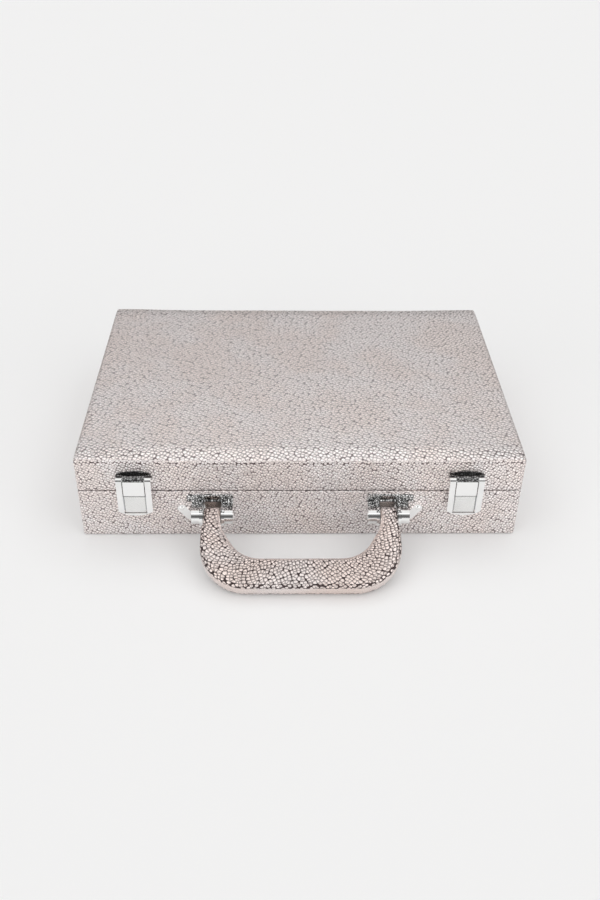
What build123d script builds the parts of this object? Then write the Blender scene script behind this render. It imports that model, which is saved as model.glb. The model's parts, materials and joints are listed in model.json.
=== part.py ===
from build123d import *
import os
from math import acos, asin, atan2, cos, hypot, radians, sin, sqrt

# A small attache case covered in pebbled leather that holds a set of domino tiles.
# Millimetres. X runs along the front, Y from the front to the back, Z up from the table.
# The origin is the centre of the underside.

# The closed case
CASE_WIDTH = 266.0
CASE_DEPTH = 190.0
CASE_HEIGHT = 58.5
SEAM_HEIGHT = 34.4
SEAM_GAP = 0.6
UPRIGHT_EDGE_RADIUS = 1.6
BOTTOM_EDGE_RADIUS = 1.0
TOP_EDGE_RADIUS = 1.8
LID_ROLL = 14.0
LID_ROLL_DROP = 1.4

# Boards, coverings and linings
LEATHER = 1.2
FELT = 0.5
FELT_INSET = 3.0
FELT_CORNER_RADIUS = 4.0
BASE_BOARD = 4.5
BASE_FLOOR = 4.5
LID_BOARD = 4.0
LID_TOP_BOARD = 4.0
LID_FOAM = 4.0
BASE_LINING = 2.0
COLLAR_RISE = 3.6
LID_LINING = 1.5
LID_LINING_PAD = 3.0
COLLAR_TO_LINING = 0.8

# Domino tiles and the tray that they lie in
TILE_LENGTH = 57.0
TILE_WIDTH = 28.5
TILE_THICKNESS = 12.0
TILE_CHAMFER = 1.0
TILE_GAP = 0.15
TILES_IN_ROW = 7
DIVIDER_WIDTH = 1.6
DIVIDER_DEPTH = 0.6
TRAY_FIT = 0.3
TRAY_FLOOR = 2.0
TRAY_RIB = 8.0
TILE_PROUD = 1.5
TILE_FIT = 0.4
TRAY_BORDER = 7.4
FINGER_WELL_LENGTH = 34.0
FINGER_WELL_RADIUS = 6.0
TRAY_EDGE_RADIUS = 1.2

# Rear hinges
HINGE_FROM_END = 55.0
HINGE_WIDTH = 36.0
HINGE_LEAF = 1.2
HINGE_LEAF_HEIGHT = 13.0
HINGE_LEAF_RADIUS = 2.5
HINGE_KNUCKLE_RADIUS = 2.5
HINGE_MIDDLE_KNUCKLE = 12.0
HINGE_PIN_RADIUS = 1.1
HINGE_PIN_HEAD_RADIUS = 1.7
HINGE_PIN_HEAD = 0.8
HINGE_SIDE_GAP = 0.2
HINGE_BACK_GAP = 0.2
HINGE_LEAF_GAP = 0.5
HINGE_SCREW_SPACING = 24.0
HINGE_SCREW_BELOW = 8.6
SCREW_HEAD_RADIUS = 2.2
SCREW_HEAD = 1.1
SCREW_SHANK_RADIUS = 1.1
SCREW_LENGTH = 5.2

# Latches on the front
LATCH_FROM_END = 34.6
LATCH_WIDTH = 20.5
LATCH_OUT = 5.5
LATCH_STRIP = 3.5
LATCH_GROOVE = 0.5
LATCH_PIN_ABOVE_SEAM = 10.2
LATCH_PIN_RADIUS = 0.9
LATCH_EAR_RADIUS = 2.2
LATCH_WALL = 1.2
LATCH_SIDE_WALL = 1.0
LATCH_LEAF = 0.9
LATCH_LEAF_ABOVE_SEAM = 1.6
LATCH_LEAF_ARCH = 1.9
LATCH_HOOD = 0.6
LATCH_HOOD_GAP = 0.15
LATCH_HOOD_BEHIND_PIN = 0.5
LATCH_BLOCK_ROLL = 1.6
LATCH_BELOW_SEAM = 11.5
LATCH_FOOT_ARCH = 2.9
LATCH_FOOT_CORNER = 1.0
BUTTON_BELOW_SEAM = 12.2
BUTTON_EDGE = 0.35
CLIP = 0.8
CLIP_HEIGHT = 9.6
CLIP_PRONG = 0.8
CLIP_PRONG_LENGTH = 8.0
CLIP_PRONG_FROM_FACE = 1.6
STUD_RADIUS = 2.2
STUD_OUT = 3.2
STUD_CLEAR = 0.4
STUD_EDGE = 0.6
STRIKER_BELOW_SEAM = 6.4
STRIKER_WIDTH = 16.4
STRIKER_TALL = 9.0
STRIKER = 0.8
STRIKER_CORNER = 2.0

# Handle brackets
BRACKET_OFFSET = 52.7
BRACKET_HALF_WIDTH = 12.3
BRACKET_PLATE = 1.2
BRACKET_BELOW_PIN = 7.8
BRACKET_CHEEK = 2.0
BRACKET_CHEEK_RADIUS = 6.1
BRACKET_BARREL_RADIUS = 5.0
EAR_REACH = 18.6
EAR_RADIUS = 2.6
EAR_ROOT_REACH = 14.0
EAR_ROOT_BELOW_PIN = 6.0
PLATE_CORNER = 1.6

# Handle
HANDLE_PIN_OUT = 8.0
HANDLE_PIN_BELOW_SEAM = 12.4
HANDLE_PIN_RADIUS = 1.5
HANDLE_PIN_HEAD_RADIUS = 2.4
HANDLE_PIN_HEAD = 0.5
HANDLE_REST_GAP = 0.15
HANDLE_THICKNESS = 12.5
HANDLE_LEG = 12.4
HANDLE_NECK = 10.2
HANDLE_SIDE_PLAY = 0.3
HANDLE_REACH = 50.5
HANDLE_BAR = 18.8
HANDLE_OUTER_RADIUS = 28.0
HANDLE_INNER_RADIUS = 20.0
HANDLE_SWELL = 3.0
HANDLE_NECK_CLEAR = 0.6
HANDLE_SHOULDER = 4.5
HANDLE_LEG_BLEND = 6.0
HANDLE_EDGE_RADIUS = 3.2
HANDLE_END = 3.2
HANDLE_END_RADIUS = 3.0
HANDLE_LEATHER = 1.4
HANDLE_CORE_INSET = 3.4
HANDLE_CORE = 2.0
BUSH_RADIUS = 2.2

# Rivets and running fits
RIVET_HEAD_RADIUS = 1.5
RIVET_HEAD = 0.6
RIVET_SHANK_RADIUS = 0.8
RIVET_LENGTH = 5.0
RAISED_RIVET_RISE = 0.6
RUNNING_FIT = 0.05

# Levels and faces that several pieces share
BACK = CASE_DEPTH / 2
BASE_RIM = SEAM_HEIGHT - SEAM_GAP / 2
LID_RIM = SEAM_HEIGHT + SEAM_GAP / 2
BOARD_WIDTH = CASE_WIDTH - 2 * LEATHER
BOARD_DEPTH = CASE_DEPTH - 2 * LEATHER
BASE_INNER_WIDTH = BOARD_WIDTH - 2 * BASE_BOARD
BASE_INNER_DEPTH = BOARD_DEPTH - 2 * BASE_BOARD
BASE_BOARD_FOOT = FELT + LEATHER
BASE_BOARD_TOP = BASE_RIM - LEATHER
BASE_FLOOR_TOP = BASE_BOARD_FOOT + BASE_FLOOR
COLLAR_TOP = BASE_RIM + COLLAR_RISE
LID_INNER_WIDTH = BOARD_WIDTH - 2 * LID_BOARD
LID_INNER_DEPTH = BOARD_DEPTH - 2 * LID_BOARD
LID_BOARD_FOOT = LID_RIM + LEATHER
LID_BOARD_TOP = CASE_HEIGHT - LEATHER - LID_FOAM
LID_CEILING = LID_BOARD_TOP - LID_TOP_BOARD
TRAY_WIDTH = BASE_INNER_WIDTH - 2 * BASE_LINING - 2 * TRAY_FIT
TRAY_DEPTH = BASE_INNER_DEPTH - 2 * BASE_LINING - 2 * TRAY_FIT
WELL_FLOOR = BASE_FLOOR_TOP + TRAY_FLOOR
TRAY_TOP = WELL_FLOOR + 2 * TILE_THICKNESS - TILE_PROUD
TILE_PITCH = TILE_WIDTH + TILE_GAP
WELL_WIDTH = TILES_IN_ROW * TILE_PITCH - TILE_GAP + 2 * TILE_FIT
WELL_DEPTH = TILE_LENGTH + 2 * TILE_FIT
FINGER_WELL_WIDTH = (TRAY_WIDTH - WELL_WIDTH) / 2 - TRAY_BORDER
WELL_OFFSET = (TRAY_RIB + WELL_DEPTH) / 2
HINGE_OFFSET = CASE_WIDTH / 2 - HINGE_FROM_END
HINGE_AXIS_OUT = HINGE_KNUCKLE_RADIUS + HINGE_BACK_GAP
LATCH_OFFSET = CASE_WIDTH / 2 - LATCH_FROM_END
LATCH_PIN_HEIGHT = SEAM_HEIGHT + LATCH_PIN_ABOVE_SEAM
LATCH_PIN_OUT = LATCH_OUT - LATCH_EAR_RADIUS
LATCH_SHOULDER = LATCH_PIN_HEIGHT + LATCH_EAR_RADIUS
LATCH_HOOD_FOOT = LATCH_SHOULDER + LATCH_HOOD_GAP
LATCH_HOOD_TOP = LATCH_HOOD_FOOT + LATCH_HOOD
LATCH_HOOD_OUT = LATCH_PIN_OUT - LATCH_HOOD_BEHIND_PIN
LATCH_LEAF_FOOT = SEAM_HEIGHT + LATCH_LEAF_ABOVE_SEAM
LATCH_FOOT = SEAM_HEIGHT - LATCH_BELOW_SEAM
BUTTON_FOOT = SEAM_HEIGHT - BUTTON_BELOW_SEAM
STRIKER_HEIGHT = SEAM_HEIGHT - STRIKER_BELOW_SEAM
BUTTON_HALF = LATCH_WIDTH / 2 - LATCH_STRIP - LATCH_GROOVE
HANDLE_PIN_HEIGHT = SEAM_HEIGHT - HANDLE_PIN_BELOW_SEAM
BRACKET_TOP = HANDLE_PIN_HEIGHT + BRACKET_BARREL_RADIUS
BRACKET_FOOT = HANDLE_PIN_HEIGHT - BRACKET_BELOW_PIN
LEG_CENTRE = BRACKET_OFFSET
HANDLE_OUTER_HALF = LEG_CENTRE + HANDLE_LEG / 2
HANDLE_INNER_HALF = LEG_CENTRE - HANDLE_LEG / 2 - HANDLE_SWELL
CHEEK_INNER = HANDLE_NECK / 2 + HANDLE_SIDE_PLAY
CHEEK_OUTER = CHEEK_INNER + BRACKET_CHEEK
SIDES = {"left": -1, "right": 1}


def block(width, depth, low, high, x=0.0, y=0.0):
    """A box centred on x and y that stands between two heights."""
    return Pos(x, y, (low + high) / 2) * Box(width, depth, high - low)


def front_slab(outline, start, end):
    """An outline in X and Z, made solid between two distances out from the front face."""
    return extrude(Plane.XZ.offset(CASE_DEPTH / 2 + start) * outline, end - start)


def back_slab(outline, start, end):
    """An outline in X and Z, made solid between two distances out from the back face."""
    return extrude(Plane.XZ.offset(-BACK - end) * outline, end - start)


def across(outline, x_from, x_to):
    """An outline in Y and Z, made solid between two places along X."""
    return extrude(Plane.YZ.offset(x_from) * outline, x_to - x_from)


def rod(radius, length, centre):
    """A round bar along X."""
    return Pos(*centre) * Rot(0, 90, 0) * Cylinder(radius, length)


def fastener(centre, outwards, head_radius, head, shank_radius, length):
    """A countersunk screw or rivet: its head's face is at the centre, its tip lies inwards."""
    cone = Pos(0, 0, -head / 2) * Cone(shank_radius, head_radius, head)
    shank = Pos(0, 0, -length / 2) * Cylinder(shank_radius, length)
    return Plane(origin=centre, z_dir=outwards) * (cone + shank)


def without(solid, tools):
    """The solid with a seat cut for each tool."""
    for tool in tools:
        solid = solid - tool
    return solid


# Fasteners come first, because the boards and the leather are drilled for them

def hinge_screws(level):
    """The screws of both hinges at one height."""
    screws = []
    for side in SIDES.values():
        for step in (-1, 1):
            x = side * HINGE_OFFSET + step * HINGE_SCREW_SPACING / 2
            screws.append(fastener(
                (x, BACK + HINGE_LEAF, level), (0, 1, 0),
                SCREW_HEAD_RADIUS, SCREW_HEAD, SCREW_SHANK_RADIUS, SCREW_LENGTH,
            ))
    return screws


def front_rivet(x, z, out):
    """A flush rivet whose head lies at a distance out from the front face."""
    return fastener(
        (x, -BACK - out, z), (0, -1, 0),
        RIVET_HEAD_RADIUS, RIVET_HEAD, RIVET_SHANK_RADIUS, RIVET_LENGTH,
    )


def latch_plate_rivets():
    """Two rivets through each lid plate, under the side strips of the flap."""
    reach = LATCH_WIDTH / 2 - LATCH_STRIP / 2
    height = LATCH_LEAF_FOOT + LATCH_STRIP
    return [front_rivet(side * LATCH_OFFSET + step * reach, height, LATCH_LEAF)
            for side in SIDES.values() for step in (-1, 1)]


def striker_rivets():
    """Two rivets through each striker, beside its stud."""
    reach = STRIKER_WIDTH / 2 - RIVET_HEAD_RADIUS - LATCH_GROOVE
    return [front_rivet(side * LATCH_OFFSET + step * reach, STRIKER_HEIGHT, STRIKER)
            for side in SIDES.values() for step in (-1, 1)]


def bracket_rivets():
    """For each bracket a raised rivet in its ear and a flush one behind the handle's leg."""
    rivets = []
    for side in SIDES.values():
        rivets.append(front_rivet(side * BRACKET_OFFSET, HANDLE_PIN_HEIGHT, BRACKET_PLATE))
        x = side * (BRACKET_OFFSET + EAR_REACH)
        face = Plane(origin=(x, -BACK - BRACKET_PLATE, HANDLE_PIN_HEIGHT), z_dir=(0, -1, 0))
        head = Cone(RIVET_HEAD_RADIUS, RIVET_HEAD_RADIUS / 2, RAISED_RIVET_RISE)
        raised = face * Pos(0, 0, RAISED_RIVET_RISE / 2) * head
        rivets.append(raised + front_rivet(x, HANDLE_PIN_HEIGHT, BRACKET_PLATE))
    return rivets


BASE_SCREWS = hinge_screws(SEAM_HEIGHT - HINGE_SCREW_BELOW)
LID_SCREWS = hinge_screws(SEAM_HEIGHT + HINGE_SCREW_BELOW)
PLATE_RIVETS = latch_plate_rivets()
STRIKER_RIVETS = striker_rivets()
BRACKET_RIVETS = bracket_rivets()
BASE_FRONT_FASTENERS = STRIKER_RIVETS + BRACKET_RIVETS
BASE_FASTENERS = BASE_SCREWS + BASE_FRONT_FASTENERS
LID_FASTENERS = LID_SCREWS + PLATE_RIVETS


# The base

def base_boards():
    """Four walls and a floor, the ends between the long walls and the floor inside them."""
    tall = (BASE_BOARD_FOOT, BASE_BOARD_TOP)
    long_wall = block(BOARD_WIDTH, BASE_BOARD, *tall)
    end_wall = block(BASE_BOARD, BASE_INNER_DEPTH, *tall)
    y = (BOARD_DEPTH - BASE_BOARD) / 2
    x = (BOARD_WIDTH - BASE_BOARD) / 2
    return {
        "base_front_board": without(Pos(0, -y, 0) * long_wall, BASE_FRONT_FASTENERS),
        "base_back_board": without(Pos(0, y, 0) * long_wall, BASE_SCREWS),
        "base_left_board": Pos(-x, 0, 0) * end_wall,
        "base_right_board": Pos(x, 0, 0) * end_wall,
        "base_bottom_board": block(
            BASE_INNER_WIDTH, BASE_INNER_DEPTH, BASE_BOARD_FOOT, BASE_FLOOR_TOP),
    }


def base_leather():
    """The outer covering, turned in over the top of the walls."""
    outside = block(CASE_WIDTH, CASE_DEPTH, FELT, BASE_RIM)
    outside = fillet(outside.edges().filter_by(Axis.Z), UPRIGHT_EDGE_RADIUS)
    outside = fillet(outside.faces().sort_by(Axis.Z)[0].edges(), BOTTOM_EDGE_RADIUS)
    boards = block(BOARD_WIDTH, BOARD_DEPTH, BASE_BOARD_FOOT, BASE_BOARD_TOP)
    mouth = block(BASE_INNER_WIDTH, BASE_INNER_DEPTH, BASE_BOARD_FOOT, BASE_RIM)
    return without(outside - boards - mouth, BASE_FASTENERS)


def underside_felt():
    """The cloth pad that the case stands on, set in from the edges."""
    pad = block(CASE_WIDTH - 2 * FELT_INSET, CASE_DEPTH - 2 * FELT_INSET, 0, FELT)
    return fillet(pad.edges().filter_by(Axis.Z), FELT_CORNER_RADIUS)


def base_linings():
    """Padded strips on the inner walls, which rise past the rim to guide the lid."""
    tall = (BASE_FLOOR_TOP, COLLAR_TOP)
    long_strip = block(BASE_INNER_WIDTH, BASE_LINING, *tall)
    end_strip = block(BASE_LINING, BASE_INNER_DEPTH - 2 * BASE_LINING, *tall)
    y = (BASE_INNER_DEPTH - BASE_LINING) / 2
    x = (BASE_INNER_WIDTH - BASE_LINING) / 2
    strips = {"front": (0, -y, long_strip), "back": (0, y, long_strip),
              "left": (-x, 0, end_strip), "right": (x, 0, end_strip)}
    linings = {}
    for name, (at_x, at_y, strip) in strips.items():
        top = strip.faces().sort_by(Axis.Z)[-1]
        rounded = fillet(top.edges(), BASE_LINING / 3)
        linings[f"base_lining_{name}"] = Pos(at_x, at_y, 0) * rounded
    return linings


# The domino set

def tile_tray():
    """A tray with one well for each row of tiles and a finger well at each end of a row."""
    tray = block(TRAY_WIDTH, TRAY_DEPTH, BASE_FLOOR_TOP, TRAY_TOP)
    finger_well = block(
        2 * FINGER_WELL_WIDTH, FINGER_WELL_LENGTH, WELL_FLOOR, TRAY_TOP)
    corner = min(FINGER_WELL_RADIUS, FINGER_WELL_WIDTH / 2)
    finger_well = fillet(finger_well.edges().filter_by(Axis.Z), corner)
    for row in (-1, 1):
        y = row * WELL_OFFSET
        tray -= block(WELL_WIDTH, WELL_DEPTH, WELL_FLOOR, TRAY_TOP, 0, y)
        for end in (-1, 1):
            tray -= Pos(end * WELL_WIDTH / 2, y, 0) * finger_well
    return chamfer(tray.faces().sort_by(Axis.Z)[-1].edges(), TRAY_EDGE_RADIUS)


def tile(upper):
    """One tile with bevelled edges. An upper one shows the groove between its two halves."""
    body = Box(TILE_WIDTH, TILE_LENGTH, TILE_THICKNESS)
    body = chamfer(body.edges(), TILE_CHAMFER)
    if upper:
        groove = Box(TILE_WIDTH - 6 * TILE_CHAMFER, DIVIDER_WIDTH, 2 * DIVIDER_DEPTH)
        body -= Pos(0, 0, TILE_THICKNESS / 2) * groove
    return body


def tile_rows():
    """Two layers of tiles in each of the two wells."""
    rows = {}
    for row, row_name in ((-1, "front"), (1, "back")):
        for layer, layer_name in ((0, "lower"), (1, "upper")):
            one = tile(upper=layer == 1)
            z = WELL_FLOOR + (layer + 0.5) * TILE_THICKNESS
            places = [
                Pos((step - (TILES_IN_ROW - 1) / 2) * TILE_PITCH, row * WELL_OFFSET, z)
                for step in range(TILES_IN_ROW)
            ]
            rows[f"domino_tiles_{row_name}_{layer_name}"] = Compound(
                children=[place * one for place in places])
    return rows


# The lid

def rolled_lid(low, inset):
    """A solid whose top rolls down towards the front and the back, shrunk by the inset."""
    roll_radius = (LID_ROLL**2 + LID_ROLL_DROP**2) / (2 * LID_ROLL_DROP)
    flat_half = CASE_DEPTH / 2 - LID_ROLL
    half = CASE_DEPTH / 2 - inset
    top = CASE_HEIGHT - inset
    radius = roll_radius - inset
    turn = asin((half - flat_half) / radius)
    centre_z = top - radius
    edge_z = centre_z + radius * cos(turn)
    middle = (flat_half + radius * sin(turn / 2), centre_z + radius * cos(turn / 2))
    with BuildSketch() as profile:
        with BuildLine():
            Polyline((-half, edge_z), (-half, low), (half, low), (half, edge_z))
            ThreePointArc((half, edge_z), middle, (flat_half, top))
            Line((flat_half, top), (-flat_half, top))
            ThreePointArc((-flat_half, top), (-middle[0], middle[1]), (-half, edge_z))
        make_face()
        if TOP_EDGE_RADIUS > inset:
            corners = [v for v in profile.vertices() if abs(v.Y - edge_z) < abs(top - edge_z) / 2]
            fillet(corners, TOP_EDGE_RADIUS - inset)
    width = CASE_WIDTH - 2 * inset
    return across(profile.sketch, -width / 2, width / 2)


def lid_leather():
    """The outer covering of the lid, turned in under the walls."""
    outside = rolled_lid(LID_RIM, 0)
    ends = outside.faces().filter_by(Axis.X)
    outline = [edge for end in ends for edge in end.edges()
               if edge.center().Z > LID_RIM + UPRIGHT_EDGE_RADIUS]
    outside = fillet(outline, UPRIGHT_EDGE_RADIUS)
    boards = block(BOARD_WIDTH, BOARD_DEPTH, LID_BOARD_FOOT, LID_BOARD_TOP)
    mouth = block(LID_INNER_WIDTH, LID_INNER_DEPTH, LID_RIM, LID_BOARD_TOP)
    return without(outside - boards - mouth - lid_foam(), LID_FASTENERS)


def lid_foam():
    """The foam sheet that makes the top of the lid soft."""
    return rolled_lid(LID_BOARD_TOP, LEATHER)


def lid_boards():
    """Four walls and a top, the ends between the long walls and the top inside them."""
    tall = (LID_BOARD_FOOT, LID_BOARD_TOP)
    long_wall = block(BOARD_WIDTH, LID_BOARD, *tall)
    end_wall = block(LID_BOARD, LID_INNER_DEPTH, *tall)
    y = (BOARD_DEPTH - LID_BOARD) / 2
    x = (BOARD_WIDTH - LID_BOARD) / 2
    return {
        "lid_front_board": without(Pos(0, -y, 0) * long_wall, PLATE_RIVETS),
        "lid_back_board": without(Pos(0, y, 0) * long_wall, LID_SCREWS),
        "lid_left_board": Pos(-x, 0, 0) * end_wall,
        "lid_right_board": Pos(x, 0, 0) * end_wall,
        "lid_top_board": block(LID_INNER_WIDTH, LID_INNER_DEPTH, LID_CEILING, LID_BOARD_TOP),
    }


def lid_linings():
    """Strips on the lid's inner walls above the collar, and the pad under its top."""
    tall = (COLLAR_TOP + COLLAR_TO_LINING, LID_CEILING)
    y = (LID_INNER_DEPTH - LID_LINING) / 2
    x = (LID_INNER_WIDTH - LID_LINING) / 2
    end_depth = LID_INNER_DEPTH - 2 * LID_LINING
    pad = block(LID_INNER_WIDTH - 2 * LID_LINING, end_depth,
                LID_CEILING - LID_LINING_PAD, LID_CEILING)
    pad = fillet(pad.faces().sort_by(Axis.Z)[0].edges(), LID_LINING_PAD / 3)
    return {
        "lid_lining_front": block(LID_INNER_WIDTH, LID_LINING, *tall, 0, -y),
        "lid_lining_back": block(LID_INNER_WIDTH, LID_LINING, *tall, 0, y),
        "lid_lining_left": block(LID_LINING, end_depth, *tall, -x, 0),
        "lid_lining_right": block(LID_LINING, end_depth, *tall, x, 0),
        "lid_lining_pad": pad,
    }


# Rear hinges

def hinge_knuckle(x_from, x_to, bore, upwards):
    """A rolled knuckle and the web that joins it to its leaf."""
    axis_y = BACK + HINGE_AXIS_OUT
    middle = ((x_from + x_to) / 2, axis_y, SEAM_HEIGHT)
    rolled = rod(HINGE_KNUCKLE_RADIUS, x_to - x_from, middle)
    reach = HINGE_KNUCKLE_RADIUS + HINGE_LEAF_GAP
    low = SEAM_HEIGHT if upwards else SEAM_HEIGHT - reach
    web = block(x_to - x_from, HINGE_LEAF, low, low + reach,
                middle[0], BACK + HINGE_LEAF / 2)
    return rolled + web - rod(bore, x_to - x_from + 1, middle)


def hinge_plate(x, upwards):
    """The flat of a leaf, with its two outer corners rounded."""
    way = 1 if upwards else -1
    near = HINGE_KNUCKLE_RADIUS + HINGE_LEAF_GAP
    with BuildSketch() as outline:
        with Locations((x, SEAM_HEIGHT + way * (near + HINGE_LEAF_HEIGHT) / 2)):
            Rectangle(HINGE_WIDTH, HINGE_LEAF_HEIGHT - near)
        corners = outline.vertices().group_by(Axis.Y)[-1 if upwards else 0]
        fillet(corners, HINGE_LEAF_RADIUS)
    return back_slab(outline.sketch, 0, HINGE_LEAF)


def hinge(side):
    """A three-knuckle hinge: two leaves and the pin that they turn on."""
    x = side * HINGE_OFFSET
    half_middle = HINGE_MIDDLE_KNUCKLE / 2
    half = HINGE_WIDTH / 2
    base_leaf = hinge_plate(x, upwards=False)
    for x_from in (x - half, x + half_middle + HINGE_SIDE_GAP):
        x_to = x_from + half - half_middle - HINGE_SIDE_GAP
        base_leaf += hinge_knuckle(x_from, x_to, HINGE_PIN_RADIUS, upwards=False)
    lid_leaf = hinge_plate(x, upwards=True)
    lid_leaf += hinge_knuckle(
        x - half_middle, x + half_middle, HINGE_PIN_RADIUS + RUNNING_FIT, upwards=True)
    centre = (x, BACK + HINGE_AXIS_OUT, SEAM_HEIGHT)
    pin = rod(HINGE_PIN_RADIUS, HINGE_WIDTH, centre)
    for end in (-1, 1):
        head_x = x + end * (half + HINGE_PIN_HEAD / 2)
        head = rod(HINGE_PIN_HEAD_RADIUS, HINGE_PIN_HEAD, (head_x, *centre[1:]))
        outer = head.edges().sort_by(Axis.X)[-1 if end > 0 else 0]
        pin += chamfer(outer, HINGE_PIN_HEAD / 2)
    return without(base_leaf, BASE_SCREWS), without(lid_leaf, LID_SCREWS), pin


# Latches

def latch_axis(x):
    """The middle of a latch pin."""
    return (x, -BACK - LATCH_PIN_OUT, LATCH_PIN_HEIGHT)


def latch_lid_plate(x):
    """The arched leaf on the lid, the hood over the ears and the block between them."""
    half = LATCH_WIDTH / 2
    with BuildSketch() as leaf:
        with BuildLine():
            arch = ThreePointArc(
                (x - half, LATCH_HOOD_TOP),
                (x, LATCH_HOOD_TOP + LATCH_LEAF_ARCH),
                (x + half, LATCH_HOOD_TOP))
            Polyline(arch @ 1, (x + half, LATCH_LEAF_FOOT), (x - half, LATCH_LEAF_FOOT), arch @ 0)
        make_face()
    plate = front_slab(leaf.sketch, 0, LATCH_LEAF)
    plate += block(LATCH_WIDTH, LATCH_HOOD_OUT, LATCH_HOOD_FOOT, LATCH_HOOD_TOP,
                   x, -BACK - LATCH_HOOD_OUT / 2)
    with BuildSketch() as side:
        with BuildLine():
            Polyline(
                (-BACK, LID_RIM),
                (-BACK - LATCH_OUT, LID_RIM),
                (-BACK - LATCH_OUT, LATCH_SHOULDER),
                (-BACK - LATCH_HOOD_OUT, LATCH_HOOD_TOP),
                (-BACK, LATCH_HOOD_TOP),
                close=True)
        make_face()
        roll = side.vertices().sort_by(Axis.X)[:2].sort_by(Axis.Y)[-1]
        fillet(roll, LATCH_BLOCK_ROLL)
    plate += across(side.sketch, x - BUTTON_HALF, x + BUTTON_HALF)
    plate -= rod(LATCH_PIN_RADIUS, LATCH_WIDTH, latch_axis(x))
    return without(plate, PLATE_RIVETS)


def latch_pin(x):
    """The pin through the block and both ears."""
    return rod(LATCH_PIN_RADIUS, LATCH_WIDTH, latch_axis(x))


def latch_flap(x):
    """The flap's frame: two strips with ears at the top, joined by an arched foot."""
    half = LATCH_WIDTH / 2
    window = half - LATCH_STRIP
    back = LATCH_PIN_OUT - LATCH_EAR_RADIUS
    with BuildSketch() as outline:
        with BuildLine():
            foot = ThreePointArc(
                (x - half, LATCH_FOOT),
                (x, LATCH_FOOT - LATCH_FOOT_ARCH),
                (x + half, LATCH_FOOT))
            Polyline(foot @ 1, (x + half, LATCH_PIN_HEIGHT), (x - half, LATCH_PIN_HEIGHT), foot @ 0)
        make_face()
        fillet(outline.vertices().group_by(Axis.Y)[0], LATCH_FOOT_CORNER)
    frame = front_slab(outline.sketch, back, LATCH_OUT)
    ears = rod(LATCH_EAR_RADIUS, LATCH_WIDTH, latch_axis(x))
    frame += ears
    opening_foot = BUTTON_FOOT - LATCH_GROOVE
    opening_top = LATCH_PIN_HEIGHT + 2 * LATCH_EAR_RADIUS
    frame -= block(2 * window, 4 * LATCH_OUT, opening_foot, opening_top, x, -BACK)
    hollow_top = LATCH_PIN_HEIGHT - LATCH_EAR_RADIUS - LATCH_WALL
    hollow = block(LATCH_WIDTH - 2 * LATCH_SIDE_WALL, LATCH_OUT - LATCH_WALL,
                   0, hollow_top, x, -BACK - (LATCH_OUT - LATCH_WALL) / 2)
    frame -= hollow
    return frame - rod(LATCH_PIN_RADIUS + RUNNING_FIT, 2 * LATCH_WIDTH, latch_axis(x))


def latch_button(x):
    """The plate that fills the lower half of the flap's window."""
    depth = LATCH_WALL
    plate = block(2 * BUTTON_HALF, depth, BUTTON_FOOT, BASE_RIM, x, -BACK - LATCH_OUT + depth / 2)
    return chamfer(plate.faces().sort_by(Axis.Y)[0].edges(), BUTTON_EDGE)


def latch_clip(x):
    """The spring strip behind the plate, with two prongs that straddle the stud."""
    front = LATCH_OUT - LATCH_WALL
    middle = (BUTTON_FOOT + BASE_RIM) / 2
    half_width = LATCH_WIDTH / 2 - LATCH_SIDE_WALL
    strip = block(2 * half_width, CLIP, middle - CLIP_HEIGHT / 2, middle + CLIP_HEIGHT / 2,
                  x, -BACK - front + CLIP / 2)
    length = front - CLIP - CLIP_PRONG_FROM_FACE
    y = -BACK - CLIP_PRONG_FROM_FACE - length / 2
    for side in (-1, 1):
        prong_x = x + side * (STUD_RADIUS + STUD_CLEAR + CLIP_PRONG / 2)
        strip += block(CLIP_PRONG, length, middle - CLIP_PRONG_LENGTH / 2,
                       middle + CLIP_PRONG_LENGTH / 2, prong_x, y)
    return strip


def latch_striker(x):
    """The plate on the base with the stud that the clip closes on."""
    with BuildSketch() as outline:
        with Locations((x, STRIKER_HEIGHT)):
            RectangleRounded(STRIKER_WIDTH, STRIKER_TALL, STRIKER_CORNER)
    plate = front_slab(outline.sketch, 0, STRIKER)
    with BuildSketch() as round_stud:
        with Locations((x, STRIKER_HEIGHT)):
            Circle(STUD_RADIUS)
    stud = front_slab(round_stud.sketch, 0, STUD_OUT)
    stud = chamfer(stud.faces().sort_by(Axis.Y)[0].edges(), STUD_EDGE)
    return without(plate + stud, STRIKER_RIVETS)


# Handle and its brackets

def bracket_cheek(radius):
    """The side view of a knuckle: round about the pin, level on top, flat on the case."""
    with BuildSketch() as pin_end:
        with Locations((-BACK - HANDLE_PIN_OUT, HANDLE_PIN_HEIGHT)):
            Circle(radius)
    foot = Line((-BACK, BRACKET_FOOT), (-BACK, BRACKET_TOP))
    return make_hull(pin_end.sketch.edges() + foot.edges())


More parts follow.
